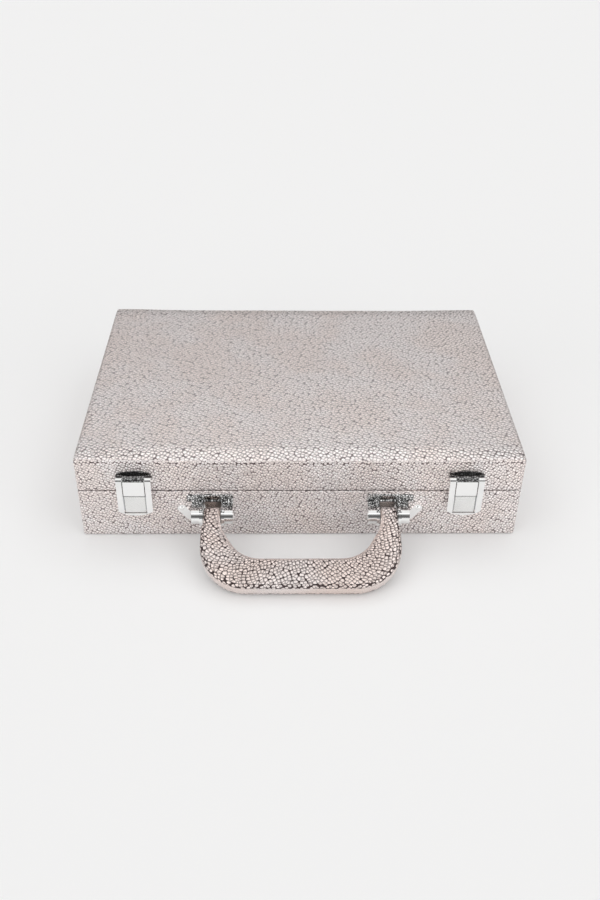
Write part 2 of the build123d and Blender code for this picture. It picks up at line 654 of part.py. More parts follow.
def handle_bracket(side):
    """A plate with an ear, and two knuckles that hold the handle's pin."""
    x = side * BRACKET_OFFSET
    with BuildSketch() as outline:
        with Locations((x, (BRACKET_TOP + BRACKET_FOOT) / 2)):
            RectangleRounded(2 * BRACKET_HALF_WIDTH, BRACKET_TOP - BRACKET_FOOT, PLATE_CORNER)
    with BuildSketch() as ear_ends:
        with Locations(
            (x + side * EAR_REACH, HANDLE_PIN_HEIGHT),
            (x + side * EAR_ROOT_REACH, HANDLE_PIN_HEIGHT - EAR_ROOT_BELOW_PIN),
        ):
            Circle(EAR_RADIUS)
    ear = make_hull(ear_ends.sketch.edges())
    bracket = front_slab(outline.sketch + ear, 0, BRACKET_PLATE)
    for way in (-1, 1):
        for radius, near, far in (
            (BRACKET_CHEEK_RADIUS, CHEEK_INNER, CHEEK_OUTER),
            (BRACKET_BARREL_RADIUS, CHEEK_OUTER, BRACKET_HALF_WIDTH),
        ):
            low, high = sorted((x + way * near, x + way * far))
            bracket += across(bracket_cheek(radius), low, high)
    bracket -= rod(HANDLE_PIN_RADIUS, 4 * BRACKET_HALF_WIDTH, handle_axis(side))
    return without(bracket, BRACKET_RIVETS)


def handle_axis(side):
    """The middle of one of the handle's pins."""
    return (side * BRACKET_OFFSET, -BACK - HANDLE_PIN_OUT, HANDLE_PIN_HEIGHT)


def handle_pin(side):
    """A pin with a low domed head at each end."""
    x, y, z = handle_axis(side)
    pin = rod(HANDLE_PIN_RADIUS, 2 * BRACKET_HALF_WIDTH, (x, y, z))
    for way in (-1, 1):
        head_x = x + way * (BRACKET_HALF_WIDTH + HANDLE_PIN_HEAD / 2)
        head = rod(HANDLE_PIN_HEAD_RADIUS, HANDLE_PIN_HEAD, (head_x, y, z))
        outer = head.edges().sort_by(Axis.X)[-1 if way > 0 else 0]
        pin += chamfer(outer, HANDLE_PIN_HEAD / 2)
    return pin


def handle_lean():
    """How far below level the handle lies when the rounded edge of its bar nears the table."""
    arm = HANDLE_REACH - HANDLE_EDGE_RADIUS
    offset = HANDLE_THICKNESS / 2 - HANDLE_EDGE_RADIUS
    drop = HANDLE_PIN_HEIGHT - HANDLE_EDGE_RADIUS - HANDLE_REST_GAP
    return asin(drop / hypot(arm, offset)) - atan2(offset, arm)


def handle_plane():
    """The plane of the handle as it leans on the table: Y points back to its pins."""
    lean = handle_lean()
    return Plane(
        origin=(0, -BACK - HANDLE_PIN_OUT, HANDLE_PIN_HEIGHT),
        x_dir=(1, 0, 0),
        z_dir=(0, -sin(lean), cos(lean)),
    )


def tangent_point(point, centre, radius):
    """Where the line down from a point touches a circle on its right."""
    across_x = point[0] - centre[0]
    across_y = point[1] - centre[1]
    turn = atan2(across_y, across_x) - acos(radius / hypot(across_x, across_y))
    return centre[0] + radius * cos(turn), centre[1] + radius * sin(turn)


def handle_outline(inset):
    """The handle seen square on: two legs that widen into a bar, shrunk by the inset."""
    top = HANDLE_THICKNESS
    outer_x = HANDLE_OUTER_HALF - inset
    outer_y = -HANDLE_REACH + inset
    outer_r = HANDLE_OUTER_RADIUS - inset
    inner_x = HANDLE_INNER_HALF + inset
    inner_y = -HANDLE_REACH + HANDLE_BAR - inset
    inner_r = HANDLE_INNER_RADIUS + inset
    leg_inner = LEG_CENTRE - HANDLE_LEG / 2 + inset
    neck_inner = LEG_CENTRE - HANDLE_NECK / 2 + inset
    neck_outer = LEG_CENTRE + HANDLE_NECK / 2 - inset
    neck_y = -BRACKET_CHEEK_RADIUS - HANDLE_NECK_CLEAR
    leg_y = neck_y - HANDLE_SHOULDER
    leg_end = (leg_inner, leg_y)
    bend = (inner_x - inner_r, inner_y + inner_r)
    touch = tangent_point(leg_end, bend, inner_r)
    slant = sin(radians(45))
    knees = [(outer_x, leg_y), (neck_outer, neck_y), (neck_inner, neck_y), leg_end]
    with BuildSketch() as outline:
        with BuildLine():
            ThreePointArc(
                (outer_x - outer_r, outer_y),
                (outer_x - outer_r * (1 - slant), outer_y + outer_r * (1 - slant)),
                (outer_x, outer_y + outer_r))
            Polyline(
                (outer_x, outer_y + outer_r), knees[0], knees[1], (neck_outer, top),
                (neck_inner, top), knees[2], knees[3], touch)
            RadiusArc(touch, (bend[0], inner_y), inner_r)
            Polyline((bend[0], inner_y), (0, inner_y), (0, outer_y), (outer_x - outer_r, outer_y))
        make_face()
        for knee in knees:
            corner = outline.vertices().sort_by_distance(knee)[0]
            fillet(corner, HANDLE_LEG_BLEND)
        mirror(about=Plane.YZ)
    return outline.sketch


def handle_form(inset, soften, edge, thickness):
    """The handle's shape with softened edges and rounded ends close behind the pins."""
    plan = extrude(handle_outline(inset), thickness / 2, both=True)
    flats = plan.faces().filter_by(Axis.Z)
    edges = [line for flat in flats for line in flat.edges()
             if line.center().Y < HANDLE_THICKNESS - inset]
    plan = soften(edges, edge)
    reach = HANDLE_END - inset
    room = Pos(0, reach - HANDLE_REACH, 0) * Box(
        4 * HANDLE_OUTER_HALF, 2 * HANDLE_REACH, thickness)
    ends = room.edges().filter_by(Axis.X).group_by(Axis.Y)[-1]
    return plan & fillet(ends, HANDLE_END_RADIUS - inset / 2)


def handle_parts():
    """A steel strip in padding under stitched leather, with a bush at the end of each leg."""
    plane = handle_plane()
    inner_thickness = HANDLE_THICKNESS - 2 * HANDLE_LEATHER
    bevel = (HANDLE_EDGE_RADIUS - HANDLE_LEATHER) * (2 - sqrt(2))
    skin = handle_form(0, fillet, HANDLE_EDGE_RADIUS, HANDLE_THICKNESS)
    filling = handle_form(HANDLE_LEATHER, chamfer, bevel, inner_thickness)
    bushes = {}
    for name, side in SIDES.items():
        centre = (side * LEG_CENTRE, 0, 0)
        hole = rod(BUSH_RADIUS, HANDLE_NECK, centre)
        bore = rod(HANDLE_PIN_RADIUS + RUNNING_FIT, 2 * HANDLE_NECK, centre)
        bushes[f"{name}_handle_bush"] = plane * (hole - bore)
    through = [rod(BUSH_RADIUS, 2 * HANDLE_LEG, (side * LEG_CENTRE, 0, 0))
               for side in SIDES.values()]
    strip = extrude(handle_outline(HANDLE_CORE_INSET), HANDLE_CORE / 2, both=True)
    behind_pins = Pos(0, 2 * HANDLE_REACH, 0) * Box(
        4 * HANDLE_OUTER_HALF, 4 * HANDLE_REACH, HANDLE_THICKNESS)
    strip = without(strip - behind_pins, through)
    return {
        "handle_leather": plane * without(skin - filling, through),
        "handle_padding": plane * without(filling - strip, through),
        "handle_core": plane * strip,
        **bushes,
    }


# Every node by name

def all_nodes():
    """Build each sub-part once."""
    nodes = {
        **base_boards(),
        "base_leather": base_leather(),
        "underside_felt": underside_felt(),
        **base_linings(),
        "tile_tray": tile_tray(),
        **tile_rows(),
        **lid_boards(),
        "lid_foam": lid_foam(),
        "lid_leather": lid_leather(),
        **lid_linings(),
        "hinge_base_screws": Compound(children=BASE_SCREWS),
        "hinge_lid_screws": Compound(children=LID_SCREWS),
        "latch_plate_rivets": Compound(children=PLATE_RIVETS),
        "latch_striker_rivets": Compound(children=STRIKER_RIVETS),
        "handle_bracket_rivets": Compound(children=BRACKET_RIVETS),
        **handle_parts(),
    }
    for name, side in SIDES.items():
        base_leaf, lid_leaf, pin = hinge(side)
        nodes[f"{name}_hinge_base_leaf"] = base_leaf
        nodes[f"{name}_hinge_lid_leaf"] = lid_leaf
        nodes[f"{name}_hinge_pin"] = pin
        x = side * LATCH_OFFSET
        nodes[f"{name}_latch_lid_plate"] = latch_lid_plate(x)
        nodes[f"{name}_latch_pin"] = latch_pin(x)
        nodes[f"{name}_latch_flap"] = latch_flap(x)
        nodes[f"{name}_latch_button"] = latch_button(x)
        nodes[f"{name}_latch_clip"] = latch_clip(x)
        nodes[f"{name}_latch_striker"] = latch_striker(x)
        nodes[f"{name}_handle_bracket"] = handle_bracket(side)
        nodes[f"{name}_handle_pin"] = handle_pin(side)
    return nodes


os.makedirs("parts", exist_ok=True)
for node_name, solid in all_nodes().items():
    export_step(solid, f"parts/{node_name}.step")
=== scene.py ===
"""The looks of a small pebbled-leather domino case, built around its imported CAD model."""

import json
from math import atan2, cos, exp, pi, radians, sin, sqrt

import bmesh
import bpy
from mathutils import Matrix, Vector, noise

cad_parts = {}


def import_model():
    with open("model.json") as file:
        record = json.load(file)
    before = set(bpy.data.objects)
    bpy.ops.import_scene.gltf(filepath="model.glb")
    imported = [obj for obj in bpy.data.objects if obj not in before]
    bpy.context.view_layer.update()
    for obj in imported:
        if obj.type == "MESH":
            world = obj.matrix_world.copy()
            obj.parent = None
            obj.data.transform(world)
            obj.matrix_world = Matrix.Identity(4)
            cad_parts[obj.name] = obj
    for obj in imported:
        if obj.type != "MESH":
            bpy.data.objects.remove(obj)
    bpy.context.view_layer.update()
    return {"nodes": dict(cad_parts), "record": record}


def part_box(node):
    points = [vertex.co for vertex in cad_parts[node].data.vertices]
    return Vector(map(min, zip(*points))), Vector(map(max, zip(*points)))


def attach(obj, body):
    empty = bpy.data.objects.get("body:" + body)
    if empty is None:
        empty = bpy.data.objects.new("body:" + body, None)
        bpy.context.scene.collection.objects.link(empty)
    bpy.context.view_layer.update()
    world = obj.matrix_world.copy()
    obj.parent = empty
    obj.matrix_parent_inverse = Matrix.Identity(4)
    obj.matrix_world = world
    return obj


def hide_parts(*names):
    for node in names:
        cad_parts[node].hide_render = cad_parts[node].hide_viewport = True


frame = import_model()
NODES = frame["nodes"]
MM = 0.001


# Sizes read from the frame, in metres

LID_LOW, LID_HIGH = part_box("lid_leather")
BASE_LOW, BASE_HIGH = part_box("base_leather")
HALF_X = BASE_HIGH.x
HALF_Y = BASE_HIGH.y
BASE_BOARDS_LOW, BASE_BOARDS_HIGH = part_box("base_front_board")
BASE_WALL_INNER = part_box("base_front_board")[1].y
LID_BOARDS_LOW, LID_BOARDS_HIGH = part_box("lid_front_board")
LEATHER = HALF_X - BASE_BOARDS_HIGH.x
BASE_WALL = BASE_WALL_INNER - BASE_BOARDS_LOW.y
LID_WALL = LID_BOARDS_HIGH.y - LID_BOARDS_LOW.y
FOAM_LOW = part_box("lid_foam")[0].z
PIN_LOW, PIN_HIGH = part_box("left_handle_pin")
PIN_Y = (PIN_LOW.y + PIN_HIGH.y) / 2
PIN_Z = (PIN_LOW.z + PIN_HIGH.z) / 2
LEG_CENTRE = -(PIN_LOW.x + PIN_HIGH.x) / 2

# Soft edges of the coverings
RIM_FOLD = 0.7 * MM
TOP_FOLD = 1.8 * MM
FOOT_FOLD = 1.0 * MM
UPRIGHT_FOLD = 1.6 * MM
ROLL = 12 * MM
ROLL_DROP = 1.9 * MM
END_ROLL = 5 * MM
END_ROLL_DROP = 0.35 * MM
WALL_EASE = 12 * MM
WAVINESS = 0.05 * MM

# The pebbles, and so their painted shading, are calmer on the level top
# than on the rolled edges and the walls
TOP_CALM = 0.42
TOP_CALM_FROM = 4 * MM
TOP_CALM_OVER = 3 * MM
TOP_CALM_SIDE = 20 * MM
TOP_GRID_EDGE = 42 * MM
WALL_FINENESS = 1.3


# Meshes

def new_piece(name, mesh, material, body):
    """Put a mesh in the scene with its material, riding on a body."""
    piece = bpy.data.objects.new(name, mesh)
    bpy.context.scene.collection.objects.link(piece)
    piece.data.materials.append(material)
    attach(piece, body)
    return piece


def mesh_from(name, points, faces, smooth=True):
    """A mesh with outward normals from lists of points and faces."""
    mesh = bpy.data.meshes.new(name)
    mesh.from_pydata([tuple(p) for p in points], [], faces)
    build = bmesh.new()
    build.from_mesh(mesh)
    bmesh.ops.recalc_face_normals(build, faces=build.faces)
    build.to_mesh(mesh)
    build.free()
    if smooth:
        mesh.polygons.foreach_set("use_smooth", [True] * len(mesh.polygons))
        mesh.set_sharp_from_angle(angle=radians(50))
    return mesh


def bridge(rings, closed=False, caps=True):
    """Faces between rings of the same length, with the first and last ring filled."""
    count = len(rings[0])
    points = [p for ring in rings for p in ring]
    faces = []
    pairs = len(rings) if closed else len(rings) - 1
    for k in range(pairs):
        a = k * count
        b = ((k + 1) % len(rings)) * count
        for i in range(count):
            j = (i + 1) % count
            faces.append((a + i, a + j, b + j, b + i))
    if caps and not closed:
        faces.append(tuple(range(count))[::-1])
        last = (len(rings) - 1) * count
        faces.append(tuple(range(last, last + count)))
    return points, faces


def rounded_ring(half_x, half_y, radius, z, along_x=96, along_y=68, corner=6):
    """A rounded rectangle, anticlockwise from above, with the same count at every size."""
    radius = max(radius, 0.02 * MM)
    inner_x = half_x - radius
    inner_y = half_y - radius
    ring = []
    sides = ((-pi / 2, along_x, (1, 0)), (0, along_y, (0, 1)),
             (pi / 2, along_x, (-1, 0)), (pi, along_y, (0, -1)))
    for angle, count, (dx, dy) in sides:
        nx, ny = cos(angle), sin(angle)
        for i in range(count + 1):
            t = 2 * i / count - 1
            ring.append(Vector((
                dx * t * inner_x + nx * half_x,
                dy * t * inner_y + ny * half_y, z)))
        corner_x = (dx + nx) * inner_x
        corner_y = (dy + ny) * inner_y
        for i in range(1, corner):
            turn = angle + pi / 2 * i / corner
            ring.append(Vector((corner_x + radius * cos(turn), corner_y + radius * sin(turn), z)))
    return ring


def ease(t):
    """A smooth step from 0 to 1."""
    t = min(max(t, 0.0), 1.0)
    return t * t * (3 - 2 * t)


def fold(inset_from, z_from, inset_to, z_to, bulge_first, steps=6):
    """A quarter turn between two places of a profile. It leaves along the inset, or along z."""
    places = []
    for i in range(1, steps):
        a = pi / 2 * i / steps
        along, across = (sin(a), 1 - cos(a)) if bulge_first else (1 - cos(a), sin(a))
        places.append((inset_from + (inset_to - inset_from) * along,
                       z_from + (z_to - z_from) * across))
    return places


def spread(start, end, steps):
    """Evenly spaced values from one to another, both included."""
    return [start + (end - start) * i / steps for i in range(steps + 1)]


def hide_uv(mesh, top):
    """Unfold the covering over its sides in metres, and note where its pebbles are calmer."""
    layer = mesh.uv_layers.new(name="hide")
    calm = mesh.attributes.new("plain", "FLOAT", "POINT")
    for vertex in mesh.vertices:
        to_side = HALF_Y - abs(vertex.co.y)
        level = ease((vertex.co.z - top + TOP_CALM_FROM) / TOP_CALM_OVER)
        calm.data[vertex.index].value = TOP_CALM * level * ease(to_side / TOP_CALM_SIDE)
    for face in mesh.polygons:
        n = face.normal
        flat = abs(n.z) > 0.7
        sideways = abs(n.x) > abs(n.y)
        for index in face.loop_indices:
            p = mesh.vertices[mesh.loops[index].vertex_index].co
            down = top - p.z
            if flat:
                uv = (p.x, p.y)
            elif sideways:
                uv = (p.x + (down if n.x > 0 else -down), p.y)
            else:
                uv = (p.x, p.y + (down if n.y > 0 else -down))
            fine = 1.0 if flat else WALL_FINENESS
            layer.data[index].uv = (uv[0] * fine, uv[1] * fine)


def waver(p, size, amount):
    """A slow unevenness of a hand-covered surface."""
    return amount * noise.noise(p / size)


# Materials

class Shader:
    """A node material, made with short calls."""

    def __init__(self, name):
        self.material = bpy.data.materials.new(name)
        self.material.use_nodes = True
        self.tree = self.material.node_tree
        self.tree.nodes.clear()
        self.surface = self.tree.nodes.new("ShaderNodeBsdfPrincipled")
        out = self.tree.nodes.new("ShaderNodeOutputMaterial")
        self.tree.links.new(self.surface.outputs[0], out.inputs[0])

    def set(self, socket, value):
        """Give an input a value or another node's output."""
        if isinstance(value, bpy.types.NodeSocket):
            self.tree.links.new(value, socket)
        elif hasattr(value, "__len__") and len(value) == 3 and socket.type == "RGBA":
            socket.default_value = (*value, 1.0)
        else:
            socket.default_value = value

    def node(self, kind, inputs=None, **settings):
        """A node with its settings and inputs."""
        made = self.tree.nodes.new("ShaderNode" + kind)
        for key, value in settings.items():
            setattr(made, key, value)
        for key, value in (inputs or {}).items():
            self.set(made.inputs[key], value)
        return made

    def math(self, operation, a, b=0.0, clamp=False):
        """One sum on numbers."""
        made = self.node("Math", {0: a, 1: b}, operation=operation, use_clamp=clamp)
        return made.outputs[0]

    def span(self, value, low, high, to_low=0.0, to_high=1.0):
        """A value moved smoothly from one span to another."""
        made = self.node("MapRange", {
            "Value": value, "From Min": low, "From Max": high,
            "To Min": to_low, "To Max": to_high}, interpolation_type="SMOOTHSTEP")
        return made.outputs["Result"]

    def mix(self, share, a, b, blend="MIX"):
        """Two colours mixed."""
        made = self.node("Mix", data_type="RGBA", blend_type=blend)
        self.set(made.inputs[0], share)
        self.set(made.inputs[6], a)
        self.set(made.inputs[7], b)
        return made.outputs[2]

    def noise(self, vector, scale, detail=2.0, roughness=0.5, flat=False):
        """Cloudy noise about one half."""
        made = self.node(
            "TexNoise", {"Vector": vector, "Scale": scale, "Detail": detail,
                         "Roughness": roughness},
            noise_dimensions="2D" if flat else "3D")
        return made

    def object_place(self):
        """The place in the part's own frame, in metres."""
        return self.node("TexCoord").outputs["Object"]

    def bump(self, height, distance, strength=1.0):
        """Relief from a height, laid over the surface's normal."""
        made = self.node("Bump", {"Height": height, "Distance": distance, "Strength": strength})
        self.set(self.surface.inputs["Normal"], made.outputs[0])

    def finish(self, **inputs):
        """Set the surface's own inputs and return the material."""
        for key, value in inputs.items():
            self.set(self.surface.inputs[key.replace("_", " ")], value)
        return self.material


LEATHER_TURN = radians(28)
PEBBLE_RANDOMNESS = 0.7
PEBBLE_WARP = 0.5
# PEBBLE_SHOULDER and PEBBLE_CROWN shape each pebble's dome: its relief, and its painted highlight
# and shade.
PEBBLE_SHOULDER = 0.32
PEBBLE_CROWN = 1.5
# CREVICE_WIDTH and the PIT_ values set where the crevices and pits are darkened as painted shade.
CREVICE_WIDTH = 0.16
PIT_FROM = 0.52
PIT_ROW_WIDER = 0.2
PIT_FULL = 0.72


def leather(name, pitch, bright, rosy, deep, relief, rough, crevice_shade):
    """Metallic leather embossed with pebbles a pitch apart. Its crevices and the dark pits where
    three pebbles meet are darkened towards the deep colour as painted shade, and each pebble
    carries a painted highlight on its crown and painted shade toward its edge.

    The attribute "plain" smooths the pebbles and their painted shading away, and "row" widens the
    pits into a dark row of painted shade.
    """
    s = Shader(name)
    place = s.node("UVMap", uv_map="hide").outputs[0]
    warp = s.noise(place, 0.35 / pitch, 2.0, flat=True)
    shift = s.node("VectorMath", {0: warp.outputs["Color"], 1: (0.5, 0.5, 0.5)},
                   operation="SUBTRACT").outputs[0]
    shift = s.node("VectorMath", {0: shift, "Scale": PEBBLE_WARP * pitch},
                   operation="SCALE").outputs[0]
    place = s.node("VectorMath", {0: place, 1: shift}, operation="ADD").outputs[0]
    place = s.node("Mapping", {"Vector": place, "Rotation": (0.0, 0.0, LEATHER_TURN)}).outputs[0]
    cells = {"Vector": place, "Scale": 1 / pitch, "Randomness": PEBBLE_RANDOMNESS}
    edge = s.node("TexVoronoi", cells, voronoi_dimensions="2D",
                  feature="DISTANCE_TO_EDGE").outputs["Distance"]
    cell = s.node("TexVoronoi", cells, voronoi_dimensions="2D", feature="F1")
    plain = s.node("Attribute", attribute_name="plain").outputs["Fac"]
    row = s.node("Attribute", attribute_name="row").outputs["Fac"]
    pebbled = s.math("SUBTRACT", 1.0, plain, clamp=True)
    each = s.node("SeparateColor", {0: cell.outputs["Color"]}).outputs[0]
    middle = cell.outputs["Distance"]
    crown = s.math("POWER", s.math("MULTIPLY", middle, PEBBLE_CROWN), 2.0)
    crown = s.math("SUBTRACT", 1.0, crown)
    dome = s.math("MULTIPLY", s.math("ADD", s.span(edge, 0.0, PEBBLE_SHOULDER), crown), 0.5)
    # Masks of the crevices and of the pits where three pebbles meet, which darken the colour as
    # painted shade.
    crevice = s.math("MULTIPLY", s.span(edge, 0.02, CREVICE_WIDTH, 1.0, 0.0), pebbled)
    pit_from = s.math("SUBTRACT", PIT_FROM, s.math("MULTIPLY", row, PIT_ROW_WIDER))
    pit = s.math("MULTIPLY", s.span(middle, pit_from, PIT_FULL), pebbled)
    fine = s.noise(place, 5 / pitch, 3.0, flat=True).outputs["Fac"]
    patch = s.noise(place, 0.045 / pitch, 3.0, flat=True).outputs["Fac"]
    tint = s.span(s.math("ADD", s.math("MULTIPLY", patch, 0.8), s.math("MULTIPLY", fine, 0.2)),
                  0.38, 0.62)
    colour = s.mix(tint, bright, rosy)
    # A random tone per pebble, with a painted highlight on its crown and painted shade toward its
    # edge.
    tone_and_painted_shading = s.math("ADD", s.math("MULTIPLY", each, 0.14), s.math("MULTIPLY", dome, 0.34))
    tone_and_painted_shading = s.math("ADD", 0.64, tone_and_painted_shading)
    tone_and_painted_shading = s.math("ADD", s.math("MULTIPLY", s.math("SUBTRACT", tone_and_painted_shading, 1.0), pebbled), 1.0)
    tone_and_shading_colour = s.node("CombineColor", {0: tone_and_painted_shading, 1: tone_and_painted_shading, 2: tone_and_painted_shading}).outputs[0]
    colour = s.mix(1.0, colour, tone_and_shading_colour, "MULTIPLY")
    # Painted shade in the crevices and pits, towards the deep colour; the "row" mark darkens the
    # pits further.
    colour = s.mix(s.math("MULTIPLY", crevice, 0.8 * crevice_shade), colour, deep)
    painted_pit_shade = s.math("MULTIPLY", pit, s.math("ADD", 1.5 * crevice_shade, row), clamp=True)
    colour = s.mix(painted_pit_shade, colour, deep)
    height = s.math("MULTIPLY", dome, pebbled)
    height = s.math("ADD", height, s.math("MULTIPLY", s.math("MULTIPLY", each, 0.25), pebbled))
    height = s.math("ADD", height, s.math("MULTIPLY", fine, 0.05))
    s.bump(height, relief)
    roughness = s.math("ADD", s.math("ADD", rough, s.math("MULTIPLY", crevice, 0.2)),
                       s.math("MULTIPLY", s.math("SUBTRACT", fine, 0.5), 0.2))
    metal = s.math("SUBTRACT", 0.92, s.math("MULTIPLY", pit, 0.5))
    return s.finish(Base_Color=colour, Metallic=metal, Roughness=roughness)


def plated(name, colour, rough, grain=None):
    """Plated metal with faint handling marks, or with a fine grain along X."""
    s = Shader(name)
    place = s.object_place()
    smear = s.noise(place, 90, 3.0).outputs["Fac"]
    value = s.math("ADD", rough, s.math("MULTIPLY", s.math("SUBTRACT", smear, 0.5), 0.08))
    tone = s.mix(s.span(smear, 0.35, 0.75), colour, tuple(0.94 * c for c in colour))
    if grain:
        stretch = s.node("Mapping", {"Vector": place, "Scale": (1.0, 20.0, 20.0)}).outputs[0]
        lines = s.noise(stretch, grain, 3.0).outputs["Fac"]
        s.bump(lines, 0.02 * MM, 0.6)
        value = s.math("ADD", value, s.math("MULTIPLY", s.math("SUBTRACT", lines, 0.5), 0.12))
    else:
        marks = s.noise(place, 1800, 2.0).outputs["Fac"]
        s.bump(marks, 0.002 * MM, 0.4)
    return s.finish(Base_Color=tone, Metallic=1.0, Roughness=value)


POLISHED = (0.95, 0.95, 0.945)
POLISHED_ROUGH = 0.09
REFLECTION_SPECKLE_PITCH = 1.5 * MM


def reflection_speckled_metal(name, pitch, above=0.0, pale=0.95):
    """Polished metal below a height; above it, small dark pebble speckle with a faint bump,
    painted on as the reflection of the pebbled leather and its shade.
    """
    s = Shader(name)
    place = s.object_place()
    edge = s.node("TexVoronoi", {"Vector": place, "Scale": 1 / pitch, "Randomness": 0.9},
                  feature="DISTANCE_TO_EDGE").outputs["Distance"]
    # The dark speckle is a painted reflection of the pebbled leather and its shade.
    dark = s.mix(s.span(edge, 0.02, 0.26), (0.05, 0.05, 0.05), (pale, pale, pale))
    share = s.span(s.node("SeparateXYZ", {0: place}).outputs[2], above, above + 0.1 * MM)
    s.bump(s.math("MULTIPLY", edge, share), 0.06 * MM, 0.8)
    return s.finish(Base_Color=s.mix(share, POLISHED, dark), Metallic=1.0,
                    Roughness=s.span(share, 0.0, 1.0, POLISHED_ROUGH, 0.22))


def pile(name, dark, light, rough=0.95, sheen=0.6, scale=900):
    """Suede, velvet or felt: a short pile that lies in soft patches."""
    s = Shader(name)
    place = s.object_place()
    brushed = s.noise(place, 45, 3.0).outputs["Fac"]
    fibre = s.noise(place, scale * 3, 2.0).outputs["Fac"]
    share = s.math("ADD", s.math("MULTIPLY", brushed, 0.7), s.math("MULTIPLY", fibre, 0.3))
    colour = s.mix(s.span(share, 0.35, 0.65), dark, light)
    s.bump(s.math("ADD", fibre, s.math("MULTIPLY", brushed, 0.4)), 0.12 * MM, 0.8)
    s.surface.inputs["Sheen Weight"].default_value = sheen
    s.surface.inputs["Sheen Roughness"].default_value = 0.4
    return s.finish(Base_Color=colour, Roughness=rough)


def board(name):
    """Grey bookbinding board with small flecks."""
    s = Shader(name)
    place = s.object_place()
    fleck = s.noise(place, 1500, 4.0, 0.7).outputs["Fac"]
    colour = s.mix(s.span(fleck, 0.4, 0.66), (0.24, 0.21, 0.18), (0.38, 0.34, 0.29))
    s.bump(fleck, 0.05 * MM, 0.5)
    return s.finish(Base_Color=colour, Roughness=0.9)


def sponge(name):
    """Open-cell foam."""
    s = Shader(name)
    cells = s.node("TexVoronoi", {"Vector": s.object_place(), "Scale": 1600.0}).outputs["Distance"]
    colour = s.mix(s.span(cells, 0.1, 0.6), (0.50, 0.47, 0.38), (0.68, 0.65, 0.56))
    s.bump(cells, 0.2 * MM, 0.8)
    return s.finish(Base_Color=colour, Roughness=0.95)


def resin(name, pale, deep):
    """Cast resin with faint clouds."""
    s = Shader(name)
    place = s.object_place()
    cloud = s.noise(place, 60, 4.0, 0.6).outputs["Fac"]
    fine = s.noise(place, 1200, 2.0).outputs["Fac"]
    s.bump(fine, 0.004 * MM, 0.4)
    s.surface.inputs["Subsurface Weight"].default_value = 0.1
    s.surface.inputs["Subsurface Radius"].default_value = (0.004, 0.003, 0.002)
    s.surface.inputs["Subsurface Scale"].default_value = 0.3
    return s.finish(Base_Color=s.mix(s.span(cloud, 0.35, 0.65), pale, deep),
                    Roughness=s.span(fine, 0.2, 0.8, 0.16, 0.26))


# The last number of each leather is the strength of its painted crevice and pit shade.
CASE_LEATHER = leather(
    "case_leather", 2.25 * MM, (0.99, 0.925, 0.915), (0.97, 0.875, 0.845), (0.12, 0.085, 0.085),
    0.34 * MM, 0.28, 0.5)
HANDLE_LEATHER = leather(
    "handle_leather", 2.0 * MM, (0.88, 0.81, 0.79), (0.86, 0.745, 0.70), (0.05, 0.03, 0.03),
    0.46 * MM, 0.26, 0.72)
CHROME = plated("polished_metal", POLISHED, POLISHED_ROUGH)
# The brackets' backplates and shelves and the latch hoods use metal with the leather's reflection
# and shade painted on as dark speckle; the hoods' speckle is darker.
PLATE_REFLECTION_SPECKLE = reflection_speckled_metal("plate_metal_painted_reflection", REFLECTION_SPECKLE_PITCH)
SHELF_REFLECTION_SPECKLE = reflection_speckled_metal("shelf_metal_painted_reflection", REFLECTION_SPECKLE_PITCH, PIN_Z + 4.86 * MM)
HOOD_REFLECTION_SPECKLE = reflection_speckled_metal(
    "hood_metal_painted_reflection", REFLECTION_SPECKLE_PITCH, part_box("left_latch_pin")[1].z - 0.6 * MM, 0.40)
SATIN = plated("satin_metal", (0.86, 0.86, 0.85), 0.26, grain=60)
SPRING = plated("spring_steel", (0.55, 0.56, 0.58), 0.3, grain=40)
BRASS = plated("brass", (0.80, 0.62, 0.33), 0.22)
BOARD = board("board")
FOAM = sponge("foam")
LINING = pile("lining", (0.25, 0.20, 0.19), (0.31, 0.255, 0.24))
TRAY = pile("tray_velvet", (0.10, 0.075, 0.075), (0.19, 0.15, 0.15), sheen=0.9)
FELT = pile("felt", (0.035, 0.033, 0.035), (0.075, 0.07, 0.072), sheen=0.3, scale=700)
IVORY = resin("tile_resin", (0.80, 0.76, 0.66), (0.72, 0.67, 0.56))
PIP_PAINT = resin("pip_enamel", (0.012, 0.012, 0.013), (0.022, 0.020, 0.020))

SLOT_MATERIALS = {
    "case_leather": CASE_LEATHER, "handle_leather": HANDLE_LEATHER, "polished_metal": CHROME,
    "satin_metal": SATIN, "spring_steel": SPRING, "board": BOARD, "foam": FOAM,
    "lining": LINING, "tray_velvet": TRAY, "felt": FELT, "tile_resin": IVORY,
}


# Metal parts that get the painted reflection speckle instead of their slot's material.
PAINTED_REFLECTION_NODES = {
    "left_latch_lid_plate": HOOD_REFLECTION_SPECKLE, "right_latch_lid_plate": HOOD_REFLECTION_SPECKLE,
    "left_handle_bracket": SHELF_REFLECTION_SPECKLE, "right_handle_bracket": SHELF_REFLECTION_SPECKLE,
}


def dress_cad_nodes():
    """Give every CAD node the material of its slot in the record, except the latch lid plates and
    handle brackets, which get metal with the leather's reflection and shade painted on.
    """
    for part in frame["record"]["subparts"]:
        piece = NODES[part["node"]]
        piece.data.materials.clear()
        material = PAINTED_REFLECTION_NODES.get(part["node"], SLOT_MATERIALS[part["material_slot"]])
        piece.data.materials.append(material)


# Coverings of the lid and the base

def top_drop(p):
    """How far the lid's top has rolled down at a place: well at the front and back edges."""
    to_side = HALF_Y - abs(p.y)
    to_end = HALF_X - abs(p.x)
    middle = 1 - 0.55 * ease(1 - to_end / (60 * MM))
    long_edge = max(0.0, 1 - to_side / ROLL) ** 1.4 * middle
    end_edge = max(0.0, 1 - to_end / END_ROLL) ** 2
    return ROLL_DROP * long_edge + END_ROLL_DROP * end_edge


